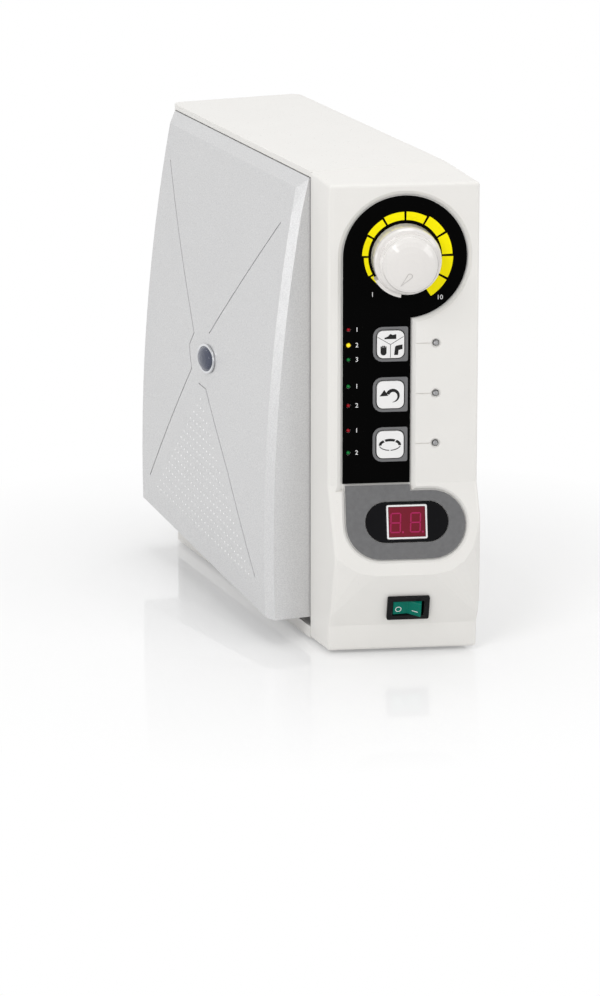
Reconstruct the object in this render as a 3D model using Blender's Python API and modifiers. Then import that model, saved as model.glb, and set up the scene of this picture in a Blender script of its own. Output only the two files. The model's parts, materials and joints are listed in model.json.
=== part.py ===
"""Desktop control unit for a dental micromotor, with a knee-operated speed panel on its left side.

Lengths are metres. X runs across the case, Y from front to back and Z up from the table. While the pieces are
placed, X is zero on the case's middle plane and Y is zero at the front left corner. The last step moves the
whole unit so that the centre of its footprint is the origin.
"""

import math

import bmesh
import bpy
from mathutils import Matrix, Vector

MM = 0.001

# Case
CASE_WIDTH = 78.4 * MM
CASE_DEPTH = 242 * MM
CASE_TOP = 262 * MM
CASE_BOTTOM = 2 * MM
WALL = 2.5 * MM
TOP_THICKNESS = 3.2 * MM
BASE_THICKNESS = 2.5 * MM
BASE_SEAM_HEIGHT = 8.4 * MM
REAR_CORNER_RADIUS = 6 * MM
REAR_POST_WIDTH = 6 * MM
COVER_EDGE_BEVEL = 1.2 * MM
GAP = 0.3 * MM
SEAM_GAP = 0.4 * MM
OVERRUN = 6 * MM

# Front bezel
BEZEL_DEPTH = 25.4 * MM
SKEW = math.radians(15)
BEZEL_TOP_DROP = 2.8 * MM
BEZEL_WALL = 3.6 * MM
BEZEL_EDGE_RADIUS = 1.6 * MM
CREASE_HEIGHT = 94.8 * MM
DISPLAY_TILT = math.radians(15.4)
CHIN_LENGTH = 49.4 * MM
CHIN_RING_RADIUS = 24 * MM
CHIN_FOOT_HEIGHT = 16.5 * MM
CHIN_FOOT_PROUD = 1.2 * MM
CHIN_SIDE_REACH = 6 * MM
CHIN_ROOT = 5 * MM
CHIN_ARC_STEPS = 4
CHIN_RIGHT_MARGIN = 1 * MM
CHIN_RIGHT_TAPER = 8 * MM
CHIN_FOOT_DROP = 2 * MM
LIP_FLARE = 0.4 * MM

# Recess and overlay
RECESS_DEPTH = 1.8 * MM
RECESS_FLARE = 2.6 * MM
OVERLAY_THICKNESS = 0.8 * MM
DIAL_CENTRE_U = 41.1 * MM
DIAL_TOP_DROP = 42.6 * MM
DIAL_CENTRE_HEIGHT = CASE_TOP - DIAL_TOP_DROP
DIAL_RADIUS = 33.6 * MM
STEM_RIGHT = 44.6 * MM
STEM_FOOT_DROP = 3.4 * MM
OVERLAY_BOTTOM_MARGIN = 0.6 * MM
DIAL_SIDES = 52

# Speed knob and potentiometer
KNOB_RADIUS = 18.4 * MM
KNOB_NECK_RADIUS = 15.8 * MM
KNOB_SKIRT_HEIGHT = 8.6 * MM
KNOB_SHOULDER_HEIGHT = 12.2 * MM
KNOB_NECK_HEIGHT = 17.8 * MM
KNOB_EDGE = 1 * MM
KNOB_CAP_RADIUS = 15 * MM
KNOB_CAP_RIM = 1.6 * MM
KNOB_DOME_HEIGHT = 4.8 * MM
KNOB_WALL = 2.4 * MM
KNOB_HUB_RADIUS = 5 * MM
KNOB_CLEARANCE = 0.4 * MM
KNOB_STEPS = 40
LUG_RADIUS = 20.2 * MM
LUG_START = math.radians(212)
LUG_END = math.radians(260)
LUG_STEPS = 8
SHAFT_RADIUS = 3 * MM
SHAFT_END = 15 * MM
BUSH_RADIUS = 4.2 * MM
BUSH_END = 2.4 * MM
POT_RADIUS = 8 * MM
POT_LENGTH = 9 * MM
NUT_RADIUS = 6.6 * MM
NUT_HEIGHT = 2 * MM
NUT_SIDES = 6
OVERLAY_HUB_RADIUS = 8 * MM

# Keys, which share the face's span from the crease to the dial's centre
FACE_SPAN = DIAL_CENTRE_HEIGHT - CREASE_HEIGHT
KEY_CENTRE_U = 33.4 * MM
KEY_SHARES = (0.6212, 0.3989, 0.1774)
KEY_HEIGHTS = tuple(CREASE_HEIGHT + share * FACE_SPAN for share in KEY_SHARES)
KEY_NAMES = ("mode", "direction", "cruise")
KEY_WIDTH = 14.6 * MM
KEY_LENGTH_SHARE = 0.1204
KEY_LENGTH = KEY_LENGTH_SHARE * FACE_SPAN
KEY_CORNER_RADIUS = 3.2 * MM
KEY_PROUD = 1.8 * MM
KEY_SKIRT = 2.6 * MM
KEY_EDGE_BEVEL = 0.6 * MM
KEY_STEM_WIDTH = 4 * MM
KEY_TRAVEL = 0.5 * MM
SURROUND_WIDTH = 18.8 * MM
SURROUND_LENGTH_SHARE = 0.1525
SURROUND_LENGTH = SURROUND_LENGTH_SHARE * FACE_SPAN
SURROUND_CORNER_RADIUS = 5 * MM
SURROUND_INNER_RADIUS = 1 * MM
SURROUND_PROUD = 0.5 * MM
SWITCH_WIDTH = 6 * MM
SWITCH_HEIGHT = 3.2 * MM

# Lamps
STATUS_LAMP_U = 10.9 * MM
STATUS_LAMP_SHARES = (0.687, 0.6188, 0.5554, 0.4374, 0.3523, 0.2416, 0.1429)
STATUS_LAMP_HEIGHTS = tuple(CREASE_HEIGHT + share * FACE_SPAN for share in STATUS_LAMP_SHARES)
STATUS_LAMP_RADIUS = 1.1 * MM
STATUS_LAMP_PROUD = 0.2 * MM
INDICATOR_U = 58 * MM
INDICATOR_RADIUS = 1.5 * MM
INDICATOR_PROUD = 0.9 * MM
INDICATOR_SINK_RADIUS = 2.8 * MM
INDICATOR_SINK_DEPTH = 1 * MM
GUIDE_LINE_WIDTH = 0.6 * MM
GUIDE_LINE_DEPTH = 0.5 * MM
LAMP_STEPS = 12

# Control board
BOARD_THICKNESS = 1.6 * MM
BOARD_SETBACK = 9.4 * MM
BOARD_LEFT = 5 * MM
BOARD_RIGHT = 66 * MM
BOARD_TOP_MARGIN = 7.6 * MM
BOARD_BOTTOM_MARGIN = 10.6 * MM

# Display
PLATE_LEFT = 8.9 * MM
PLATE_RIGHT = 74.3 * MM
PLATE_TOP = 3.4 * MM
PLATE_FLARE = 1.8 * MM
PLATE_BOTTOM = 41 * MM
PLATE_CORNER_RADIUS = 19.6 * MM
SURROUND_CENTRE_U = 42.2 * MM
SURROUND_CENTRE_S = 20.6 * MM
DISPLAY_SURROUND_WIDTH = 45.6 * MM
DISPLAY_SURROUND_HEIGHT = 22.6 * MM
WINDOW_WIDTH = 22.2 * MM
WINDOW_HEIGHT = 18.6 * MM
WINDOW_BORDER = 1 * MM
WINDOW_CORNER_RADIUS = 1 * MM
WINDOW_SINK = 0.5 * MM
DISPLAY_MODULE_WIDTH = 19 * MM
DISPLAY_MODULE_HEIGHT = 15 * MM
DISPLAY_MODULE_DEPTH = 8 * MM

# Power switch
SWITCH_CENTRE_U = 42.9 * MM
SWITCH_CENTRE_RISE = 11.6 * MM
SWITCH_FLANGE_WIDTH = 23 * MM
SWITCH_FLANGE_HEIGHT = 15 * MM
SWITCH_FLANGE_THICKNESS = 1.5 * MM
SWITCH_FLANGE_CORNER = 1 * MM
SWITCH_BODY_WIDTH = 19 * MM
SWITCH_BODY_HEIGHT = 12.6 * MM
SWITCH_BODY_DEPTH = 15 * MM
ROCKER_OPENING_WIDTH = 17 * MM
ROCKER_OPENING_HEIGHT = 9.6 * MM
ROCKER_POCKET_DEPTH = 8 * MM
ROCKER_LENGTH = 15.2 * MM
ROCKER_WIDTH = 8.8 * MM
ROCKER_RISE = 4.2 * MM
ROCKER_WAIST = 1.9 * MM
ROCKER_ROOT = 3 * MM
ROCKER_PIVOT_DEPTH = 1.2 * MM
ROCKER_TILT = math.radians(12)
ROCKER_STEPS = 6

# Knee panel
PANEL_FRONT_GAP = 0.9 * MM
PANEL_FRONT = BEZEL_DEPTH + PANEL_FRONT_GAP
PANEL_END_GAP = 1 * MM
PANEL_REAR = CASE_DEPTH - REAR_POST_WIDTH - PANEL_END_GAP
PANEL_TOP_GAP = 0.5 * MM
PANEL_TOP = CASE_TOP - TOP_THICKNESS - PANEL_TOP_GAP
PANEL_TOP_EDGE = 0.5 * MM
PANEL_BOTTOM_FRONT = 14 * MM
PANEL_BOTTOM_SLOPE = 0.09
PANEL_PROUD = 24.5 * MM
PANEL_CROWN_DROP = 207 * MM
PANEL_CROWN_HEIGHT = CASE_TOP - PANEL_CROWN_DROP
PANEL_CROWN_RADIUS = 1055 * MM
PANEL_BEVEL_LENGTH = 6 * MM
PANEL_BEVEL_DEPTH = 3.2 * MM
PANEL_TOP_BEVEL = 5.8 * MM
PANEL_WALL = 2.6 * MM
PANEL_INNER_OFFSET = 0.8 * MM
PANEL_STEPS = 16

# Fine grooves in the knee panel's face. Each bend is a share of the panel's length and of its height.
GROOVE_WIDTH = 0.9 * MM
GROOVE_DEPTH = 0.6 * MM
GROOVE_STEP = 25 * MM
GROOVE_OVERRUN = 1 * MM
GROOVE_SHARES = (
    ((0.925, 0.903), (0.601, 0.572), (0.628, 0.542), (0.620, 0.521), (0.601, 0.492), (0.910, 0.189)),
    ((0.089, 0.895), (0.491, 0.589)),
    ((0.542, 0.470), (0.488, 0.468), (0.306, 0.323), (0.099, 0.129)),
)

# Knee panel hinge, spring and plunger
HINGE_X = -35.5 * MM
HINGE_DROP = 8.3 * MM
HINGE_HEIGHT = PANEL_TOP - HINGE_DROP
HINGE_PIN_RADIUS = 2 * MM
HINGE_PIN_INSET = 18 * MM
HINGE_PIN_START = PANEL_FRONT + HINGE_PIN_INSET
HINGE_PIN_END = PANEL_REAR - HINGE_PIN_INSET
EAR_INSET = 36 * MM
EAR_CENTRES = (PANEL_FRONT + EAR_INSET, PANEL_REAR - EAR_INSET)
EAR_THICKNESS = 6 * MM
EAR_RADIUS = 5 * MM
EAR_REACH = 6.8 * MM
EAR_DROP = 4.6 * MM
EAR_FOOT = Vector((HINGE_X - EAR_REACH, 0, HINGE_HEIGHT - EAR_DROP))
EAR_FOOT_RADIUS = 2.6 * MM
BRACKET_INSET = 28 * MM
BRACKET_CENTRES = (PANEL_FRONT + BRACKET_INSET, PANEL_REAR - BRACKET_INSET)
BRACKET_THICKNESS = 5 * MM
BRACKET_FOOT_LENGTH = 16 * MM
SPRING_START = 118 * MM
SPRING_TURNS = 6
SPRING_PITCH = 2 * MM
SPRING_RADIUS = 3.6 * MM
SPRING_WIRE_RADIUS = 0.55 * MM
SPRING_POINTS_PER_TURN = 9
SPRING_LEG = 12.4 * MM
INNER_WALL_X = -22 * MM
INNER_WALL_THICKNESS = 1.5 * MM
INNER_WALL_REAR_GAP = 28 * MM
PLUNGER_Y = 130 * MM
PLUNGER_HEIGHT = 130 * MM
PLUNGER_RADIUS = 3 * MM
PLUNGER_HEAD_RADIUS = 5 * MM
PLUNGER_HEAD_LENGTH = 4 * MM
PLUNGER_END_X = -14 * MM
GUIDE_RADIUS = 7 * MM
GUIDE_FLANGE_RADIUS = 11 * MM
GUIDE_FLANGE = 2.5 * MM
GUIDE_END_X = -17 * MM
SENSOR_X = -5 * MM
SENSOR_SIZE = (9 * MM, 18 * MM, 22 * MM)

# Oval badge
BADGE_Y = 128.6 * MM
BADGE_HEIGHT = 138 * MM
BADGE_LENGTH = 25 * MM
BADGE_WIDTH = 16 * MM
BADGE_RIM = 1.6 * MM
BADGE_THICKNESS = 1 * MM
BADGE_DOME = 2.4 * MM

# Inside
TRANSFORMER_CENTRE = (6 * MM, 92 * MM)
TRANSFORMER_CORE = (44 * MM, 22 * MM, 40 * MM)
TRANSFORMER_COIL = (32 * MM, 40 * MM, 26 * MM)
COIL_EDGE = 3 * MM
MAIN_BOARD_X = 30 * MM
MAIN_BOARD_FRONT = 60 * MM
MAIN_BOARD_REAR_GAP = 46 * MM
MAIN_BOARD_BOTTOM = 24 * MM
MAIN_BOARD_TOP_GAP = 86 * MM
CAPACITOR_RADIUS = 6 * MM
CAPACITOR_LENGTH = 22 * MM
CAPACITOR_PLACES = ((84 * MM, 60 * MM), (84 * MM, 84 * MM), (110 * MM, 60 * MM))
HEAT_SINK_X = (-12 * MM, 26 * MM)
HEAT_SINK_REAR_GAP = 6 * MM
HEAT_SINK_DEPTH = 30 * MM
HEAT_SINK_Z = (118 * MM, 158 * MM)
HEAT_SINK_BASE = 4 * MM
HEAT_SINK_FINS = 7
HEAT_SINK_FIN = 2 * MM

# Back
REAR_PANEL_THICKNESS = 2.5 * MM
INLET_X = 16 * MM
INLET_HEIGHT = 48 * MM
INLET_FLANGE = (30 * MM, 46 * MM)
INLET_FLANGE_THICKNESS = 2 * MM
INLET_FLANGE_CORNER = 1 * MM
INLET_BODY = (27 * MM, 42 * MM)
INLET_BODY_DEPTH = 20 * MM
INLET_MOUTH = (24 * MM, 16.4 * MM)
INLET_MOUTH_RISE = 8.6 * MM
INLET_MOUTH_DEPTH = 16 * MM
INLET_MOUTH_CHAMFER = 4.4 * MM
INLET_PIN = (2 * MM, 4 * MM)
INLET_PIN_LENGTH = 10 * MM
PIN_ROOT = 1 * MM
INLET_PIN_PLACES = ((-7 * MM, -2 * MM), (0, 2 * MM), (7 * MM, -2 * MM))
DRAWER = (21 * MM, 8 * MM)
DRAWER_DROP = 11.6 * MM
DRAWER_DEPTH = 15 * MM
DRAWER_FACE_PROUD = 1.6 * MM
DRAWER_GRIP = 2 * MM
SOCKET_X = -12 * MM
MOTOR_SOCKET_HEIGHT = 42 * MM
FOOT_SOCKET_HEIGHT = 78 * MM
MOTOR_SOCKET_RADIUS = 8.6 * MM
FOOT_SOCKET_RADIUS = 7.4 * MM
SOCKET_FLANGE_WIDTH = 3 * MM
SOCKET_FLANGE_THICKNESS = 2 * MM
SOCKET_EDGE = 1 * MM
SOCKET_WALL = 1.8 * MM
SOCKET_BODY_DEPTH = 13 * MM
SOCKET_MOUTH_DEPTH = 10 * MM
SOCKET_PIN_RADIUS = 0.8 * MM
SOCKET_PIN_LENGTH = 4.5 * MM
SOCKET_PIN_RING_SHARE = 0.5
VENT_WIDTH = 44 * MM
VENT_HEIGHT = 3 * MM
VENT_PITCH = 8 * MM
VENT_TOP_DROP = 32 * MM
VENT_COUNT = 7

# Feet
FOOT_RADIUS = 7 * MM
FOOT_PEG_RADIUS = 2.5 * MM
FOOT_PEG_HEIGHT = 4 * MM
FOOT_X = 27 * MM
FRONT_FOOT_INSET = 20.6 * MM
REAR_FOOT_INSET = 20 * MM
FOOT_Y = (BEZEL_DEPTH + FRONT_FOOT_INSET, CASE_DEPTH - REAR_FOOT_INSET)
FOOT_BEVEL = 0.5 * MM
FOOT_STEPS = 16

# Colours as red, green and blue, then roughness and metallic value
LOOKS = {
    "white_plastic": ((0.82, 0.80, 0.78), 0.28, 0.0),
    "silver_paint": ((0.62, 0.62, 0.62), 0.42, 0.6),
    "chrome": ((0.78, 0.78, 0.80), 0.12, 1.0),
    "steel": ((0.55, 0.55, 0.57), 0.32, 1.0),
    "black_gloss": ((0.01, 0.01, 0.01), 0.2, 0.0),
    "black_plastic": ((0.03, 0.03, 0.03), 0.45, 0.0),
    "grey_plastic": ((0.20, 0.20, 0.20), 0.4, 0.0),
    "red_window": ((0.22, 0.01, 0.03), 0.15, 0.0),
    "green_rocker": ((0.0, 0.22, 0.13), 0.2, 0.0),
    "red_lamp": ((0.35, 0.02, 0.03), 0.25, 0.0),
    "yellow_lamp": ((0.9, 0.75, 0.05), 0.25, 0.0),
    "green_lamp": ((0.02, 0.3, 0.15), 0.25, 0.0),
    "clear_lamp": ((0.8, 0.8, 0.8), 0.1, 0.0),
    "rubber": ((0.05, 0.05, 0.05), 0.8, 0.0),
    "board": ((0.02, 0.16, 0.06), 0.5, 0.0),
    "coil": ((0.35, 0.18, 0.05), 0.5, 0.0),
    "aluminium": ((0.6, 0.6, 0.62), 0.4, 1.0),
}

FACE_LENGTH = CASE_WIDTH / math.cos(SKEW)
LEFT = -CASE_WIDTH / 2
RIGHT = CASE_WIDTH / 2
TO_FRONT = Matrix.Rotation(math.radians(90), 4, "X")
TO_REAR = Matrix.Rotation(math.radians(-90), 4, "X")
TO_LEFT = Matrix.Rotation(math.radians(-90), 4, "Y")


def clear_scene():
    for obj in list(bpy.data.objects):
        bpy.data.objects.remove(obj, do_unlink=True)


def new_collection(name):
    collection = bpy.data.collections.new(name)
    bpy.context.scene.collection.children.link(collection)
    return collection


def make_look(name):
    colour, roughness, metallic = LOOKS[name]
    material = bpy.data.materials.new(name)
    material.use_nodes = True
    shader = material.node_tree.nodes["Principled BSDF"]
    shader.inputs["Base Color"].default_value = (*colour, 1)
    shader.inputs["Roughness"].default_value = roughness
    shader.inputs["Metallic"].default_value = metallic
    material.diffuse_color = (*colour, 1)
    return material


clear_scene()
PARTS = new_collection("dental_micromotor")
CUTTERS = new_collection("cutters")
MATERIALS = {name: make_look(name) for name in LOOKS}


def empty(name, parent=None, location=(0, 0, 0), rotation=(0, 0, 0)):
    """A frame or a joint's axis. It isn't a piece."""
    obj = bpy.data.objects.new(name, None)
    PARTS.objects.link(obj)
    obj.parent = parent
    obj.location = location
    obj.rotation_euler = rotation
    return obj


UNIT = empty("unit")
FRONT_FACE = empty("front_face", UNIT, (LEFT, 0, 0), (0, 0, -SKEW))
DISPLAY_FACE = empty("display_face", FRONT_FACE, (0, 0, CREASE_HEIGHT), (-DISPLAY_TILT, 0, 0))
CHIN_PROUD = CHIN_LENGTH * math.sin(DISPLAY_TILT)
CHIN_EDGE_HEIGHT = CREASE_HEIGHT - CHIN_LENGTH * math.cos(DISPLAY_TILT)
SCOOP_TILT = math.atan2(CHIN_PROUD - CHIN_FOOT_PROUD, CHIN_EDGE_HEIGHT - CHIN_FOOT_HEIGHT)
SCOOP_FACE = empty("scoop_face", FRONT_FACE, (0, -CHIN_FOOT_PROUD, CHIN_FOOT_HEIGHT), (SCOOP_TILT, 0, 0))
REAR_FACE = empty("rear_face", UNIT, (0, CASE_DEPTH, 0))


def adopt(obj, name, frame, look=None):
    """Names a new object and puts it in its frame: a piece if it has a look, and a cutter if not."""
    obj.name = name
    obj.data.name = name
    for collection in list(obj.users_collection):
        collection.objects.unlink(obj)
    obj.parent = frame
    if look:
        PARTS.objects.link(obj)
        obj.data.materials.clear()
        obj.data.materials.append(MATERIALS[look])
    else:
        CUTTERS.objects.link(obj)
        obj.hide_render = True
        obj.display_type = "WIRE"
    return obj


def shade(obj, degrees=35):
    obj.data.shade_smooth()
    obj.data.set_sharp_from_angle(angle=math.radians(degrees))
    return obj


def block(name, low, high, frame=UNIT, look=None):
    """A box between two corners of its frame."""
    low, high = Vector(low), Vector(high)
    bpy.ops.mesh.primitive_cube_add(size=1)
    obj = bpy.context.object
    obj.data.transform(Matrix.LocRotScale((low + high) / 2, None, high - low))
    return adopt(obj, name, frame, look)


def rod(name, radius, start, end, frame=UNIT, look=None, sides=24):
    """A cylinder between two points of its frame."""
    start, end = Vector(start), Vector(end)
    axis = end - start
    bpy.ops.mesh.primitive_cylinder_add(vertices=sides, radius=radius, depth=axis.length)
    obj = bpy.context.object
    turn = axis.to_track_quat("Z", "Y").to_matrix().to_4x4()
    obj.data.transform(Matrix.Translation((start + end) / 2) @ turn)
    return shade(adopt(obj, name, frame, look))


def flat_solid(name, outlines, low, high, turn=Matrix(), frame=UNIT, look=None):
    """Outlines in a plane, given thickness from low to high along the plane's normal, then turned.

    An outline inside another is a hole.
    """
    curve = bpy.data.curves.new(name, "CURVE")
    curve.dimensions = "2D"
    curve.fill_mode = "BOTH"
    curve.extrude = (high - low) / 2
    for outline in outlines:
        spline = curve.splines.new("POLY")
        spline.points.add(len(outline) - 1)
        for point, (x, y) in zip(spline.points, outline):
            point.co = (x, y, 0, 1)
        spline.use_cyclic_u = True
    flat = bpy.data.objects.new(name, curve)
    CUTTERS.objects.link(flat)
    graph = bpy.context.evaluated_depsgraph_get()
    mesh = bpy.data.meshes.new_from_object(flat.evaluated_get(graph))
    bpy.data.objects.remove(flat)
    weld(mesh)
    mesh.transform(turn @ Matrix.Translation((0, 0, (low + high) / 2)))
    return adopt(bpy.data.objects.new(name, mesh), name, frame, look)


def weld(mesh, distance=GAP / 100):
    build = bmesh.new()
    build.from_mesh(mesh)
    bmesh.ops.remove_doubles(build, verts=build.verts, dist=distance)
    build.to_mesh(mesh)
    build.free()


def plate(name, outlines, inner, outer, frame=FRONT_FACE, look=None):
    """A plate that faces the front of its frame, between two distances out of the frame's plane."""
    return flat_solid(name, outlines, inner, outer, TO_FRONT, frame, look)


def turned(name, profile, place=(0, 0, 0), turn=TO_FRONT, frame=FRONT_FACE, look=None, steps=KNOB_STEPS):
    """A solid turned about an axis, from points of radius and height listed from its top to its bottom."""
    build = bmesh.new()
    is_ring = profile[0] == profile[-1]
    corners = profile[:-1] if is_ring else profile
    points = [build.verts.new((radius, 0, height)) for radius, height in corners]
    for first, second in zip(points, points[1:] + points[: int(is_ring)]):
        build.edges.new((first, second))
    mesh = bpy.data.meshes.new(name)
    build.to_mesh(mesh)
    build.free()
    obj = adopt(bpy.data.objects.new(name, mesh), name, frame, look)
    obj.matrix_local = Matrix.Translation(place) @ turn
    screw = obj.modifiers.new("turn", "SCREW")
    screw.steps = steps
    screw.render_steps = steps
    screw.use_merge_vertices = True
    screw.merge_threshold = GAP / 30
    screw.use_smooth_shade = True
    return obj


def loft(name, sections, frame=UNIT, look=None):
    """A closed solid through sections that have the same number of points, with flat ends."""
    build = bmesh.new()
    rings = [[build.verts.new(point) for point in section] for section in sections]
    for first, second in zip(rings, rings[1:]):
        for i, vert in enumerate(first):
            following = (i + 1) % len(first)
            build.faces.new((vert, first[following], second[following], second[i]))
    build.faces.new(reversed(rings[0]))
    build.faces.new(rings[-1])
    bmesh.ops.recalc_face_normals(build, faces=build.faces)
    mesh = bpy.data.meshes.new(name)
    build.to_mesh(mesh)
    build.free()
    return adopt(bpy.data.objects.new(name, mesh), name, frame, look)


def boolean(target, other, operation):
    modifier = target.modifiers.new(other.name, "BOOLEAN")
    modifier.operation = operation
    modifier.object = other
    return target


def cut(target, *cutters):
    for cutter in cutters:
        boolean(target, cutter, "DIFFERENCE")
    return target


def fuse(target, *others):
    for other in others:
        boolean(target, other, "UNION")
    return target


def bevel(obj, width, segments=2, degrees=30, clamp=True):
    modifier = obj.modifiers.new("edges", "BEVEL")
    modifier.width = width
    modifier.segments = segments
    modifier.limit_method = "ANGLE"
    modifier.angle_limit = math.radians(degrees)
    modifier.use_clamp_overlap = clamp
    return obj


def circle(centre, radius, sides=24):
    steps = (math.tau * i / sides for i in range(sides))
    return [(centre[0] + radius * math.cos(a), centre[1] + radius * math.sin(a)) for a in steps]


def arc(centre, radius, start, end, steps):
    angles = (start + (end - start) * i / steps for i in range(steps + 1))
    return [(centre[0] + radius * math.cos(a), centre[1] + radius * math.sin(a)) for a in angles]


def rounded_box(centre, width, height, radii, steps=4):
    """An outline with a radius for each corner: lower left, lower right, upper right and upper left."""
    half_width, half_height = width / 2, height / 2
    signs = ((-1, -1), (1, -1), (1, 1), (-1, 1))
    points = []
    for i, ((across, up), radius) in enumerate(zip(signs, radii)):
        corner = (centre[0] + across * (half_width - radius), centre[1] + up * (half_height - radius))
        if radius:
            start = math.radians(180 + 90 * i)
            points += arc(corner, radius, start, start + math.radians(90), steps)
        else:
            points.append(corner)
    return points


def rectangle(left, right, bottom, top):
    return [(left, bottom), (right, bottom), (right, top), (left, top)]


def pocket(name, outline, depth, flare, frame):
    """A cutter for a recess with sloping walls. outline(grow) gives the outline, that much larger."""
    over = depth
    floor = [(x, depth, z) for x, z in outline(0)]
    rim = [(x, -over, z) for x, z in outline(flare * (depth + over) / depth)]
    return loft(name, (floor, rim), frame)


def front_point(u, out, height):
    """A point given along the front face from its left corner, out of the face, and up from the table."""
    x = LEFT + u * math.cos(SKEW) - out * math.sin(SKEW)
    y = -u * math.sin(SKEW) - out * math.cos(SKEW)
    return Vector((x, y, height))


# Front bezel


def bezel_block(name, face_inset, top, drop, look):
    """The upright block, wider and deeper than the case. Its face is skewed, its top slopes."""
    left, right = LEFT - OVERRUN, RIGHT + OVERRUN
    corners = [(x, -(x - LEFT) * math.tan(SKEW) + face_inset / math.cos(SKEW)) for x in (left, right)]
    rear = BEZEL_DEPTH + OVERRUN
    rise = drop * OVERRUN / BEZEL_DEPTH
    corners += [(right, rear + OVERRUN), (left, rear + OVERRUN)]
    obj = flat_solid(name, [corners], -OVERRUN, top, look=look)
    for vert in obj.data.vertices:
        if vert.co.z > 0:
            vert.co.z += rise * 2 if vert.co.y > BEZEL_DEPTH else -drop
    build = bmesh.new()
    build.from_mesh(obj.data)
    bmesh.ops.triangulate(build, faces=[face for face in build.faces if face.normal.z > 0])
    build.to_mesh(obj.data)
    build.free()
    return obj


def chin_ring():
    """The lower edge of the display plane, as distances along it and down it from the crease."""
    low = CHIN_LENGTH - CHIN_RING_RADIUS
    quarter = math.radians(90)
    left = arc((CHIN_RING_RADIUS, -low), CHIN_RING_RADIUS, 2 * quarter, 3 * quarter, CHIN_ARC_STEPS)
    centre = FACE_LENGTH - CHIN_RIGHT_MARGIN - CHIN_RING_RADIUS
    right = arc((centre, -low), CHIN_RING_RADIUS, 3 * quarter, 4 * quarter, CHIN_ARC_STEPS)
    return [(u, -down) for u, down in left + right]


def chin(name, inset):
    """The chin's convex block, wider than the case: the display plane above and the switch's scoop below."""
    scoop = math.tan(SCOOP_TILT)
    foot = CHIN_FOOT_HEIGHT - CHIN_FOOT_DROP
    foot_out = CHIN_FOOT_PROUD - CHIN_FOOT_DROP * scoop - inset
    points = []
    for u in (-CHIN_LENGTH, FACE_LENGTH + CHIN_RIGHT_TAPER):
        points.append(front_point(u, -inset - CHIN_ROOT * math.tan(DISPLAY_TILT), CREASE_HEIGHT + CHIN_ROOT))
        points.append(front_point(u, -inset - CHIN_ROOT, CREASE_HEIGHT))
    for u in (-CHIN_SIDE_REACH, FACE_LENGTH + CHIN_SIDE_REACH):
        points.append(front_point(u, foot_out, foot))
        points.append(front_point(u, -inset - CHIN_ROOT, foot))
    ring = []
    for u, down in chin_ring():
        out = down * math.sin(DISPLAY_TILT) - inset
        ring.append(front_point(u, out, CREASE_HEIGHT - down * math.cos(DISPLAY_TILT)))
    build = bmesh.new()
    verts = [build.verts.new(point) for point in points + ring]
    hull = bmesh.ops.convex_hull(build, input=verts)
    left_over = hull["geom_interior"] + hull["geom_unused"]
    unused = {item for item in left_over if isinstance(item, bmesh.types.BMVert)}
    bmesh.ops.delete(build, geom=list(unused), context="VERTS")
    mesh = bpy.data.meshes.new(name)
    build.to_mesh(mesh)
    build.free()
    return adopt(bpy.data.objects.new(name, mesh), name, UNIT)


def lip(name, inset):
    """The band below the scoop, which leans back a little towards the table."""
    sections = []
    for u in (-CHIN_LENGTH, FACE_LENGTH + CHIN_LENGTH):
        out = CHIN_FOOT_PROUD - inset
        top = CHIN_FOOT_HEIGHT + CHIN_FOOT_DROP
        root = out - CHIN_ROOT
        corners = ((out, top), (out - LIP_FLARE * 2, -OVERRUN), (root, -OVERRUN), (root, top))
        sections.append([front_point(u, *corner) for corner in corners])
    return loft(name, sections)


def bezel_solid(name, side_inset, face_inset, bottom, top, drop, look=None):
    """The block and the chin, trimmed to the case's sides."""
    obj = bezel_block(name, face_inset, top, drop, look)
    fuse(obj, chin(f"{name}_chin", face_inset), lip(f"{name}_lip", face_inset))
    low = (LEFT + side_inset, -CASE_WIDTH, bottom)
    high = (RIGHT - side_inset, BEZEL_DEPTH + OVERRUN, CASE_TOP + OVERRUN)
    return boolean(obj, block(f"{name}_trim", low, high), "INTERSECT")


def recess_outline(grow, bottom=CREASE_HEIGHT - STEM_FOOT_DROP):
    """The recess for the overlay: a round dial with a stem that runs down from its left side."""
    radius = DIAL_RADIUS + grow
    right = STEM_RIGHT + grow
    start = -math.acos((right - DIAL_CENTRE_U) / radius)
    outline = arc((DIAL_CENTRE_U, DIAL_CENTRE_HEIGHT), radius, start, math.pi, DIAL_SIDES)
    return outline + [(DIAL_CENTRE_U - radius, bottom), (right, bottom)]


def display_plate_outline(grow, inset=0):
    """The display plate, as distances along the display plane and up it, so that down is negative."""
    radius = (PLATE_BOTTOM - PLATE_TOP) / 2 + grow - inset
    middle = -(PLATE_TOP + PLATE_BOTTOM) / 2
    quarter = math.radians(90)
    right = arc((PLATE_RIGHT - radius + grow - inset, middle), radius, -quarter, quarter, 16)
    corner_radius = PLATE_CORNER_RADIUS + grow - inset
    left_corner = (PLATE_LEFT - grow + inset + corner_radius, middle - radius + corner_radius)
    left = arc(left_corner, corner_radius, 2 * quarter, 3 * quarter, 10)
    return right + [(PLATE_LEFT - grow + inset, middle + radius)] + left


def key_outline(height, grow):
    size = (KEY_WIDTH + 2 * grow, KEY_LENGTH + 2 * grow)
    return rounded_box((KEY_CENTRE_U, height), *size, (KEY_CORNER_RADIUS + grow,) * 4)


def status_holes(grow):
    radius = STATUS_LAMP_RADIUS + grow
    return [circle((STATUS_LAMP_U, height), radius, LAMP_STEPS) for height in STATUS_LAMP_HEIGHTS]


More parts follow.
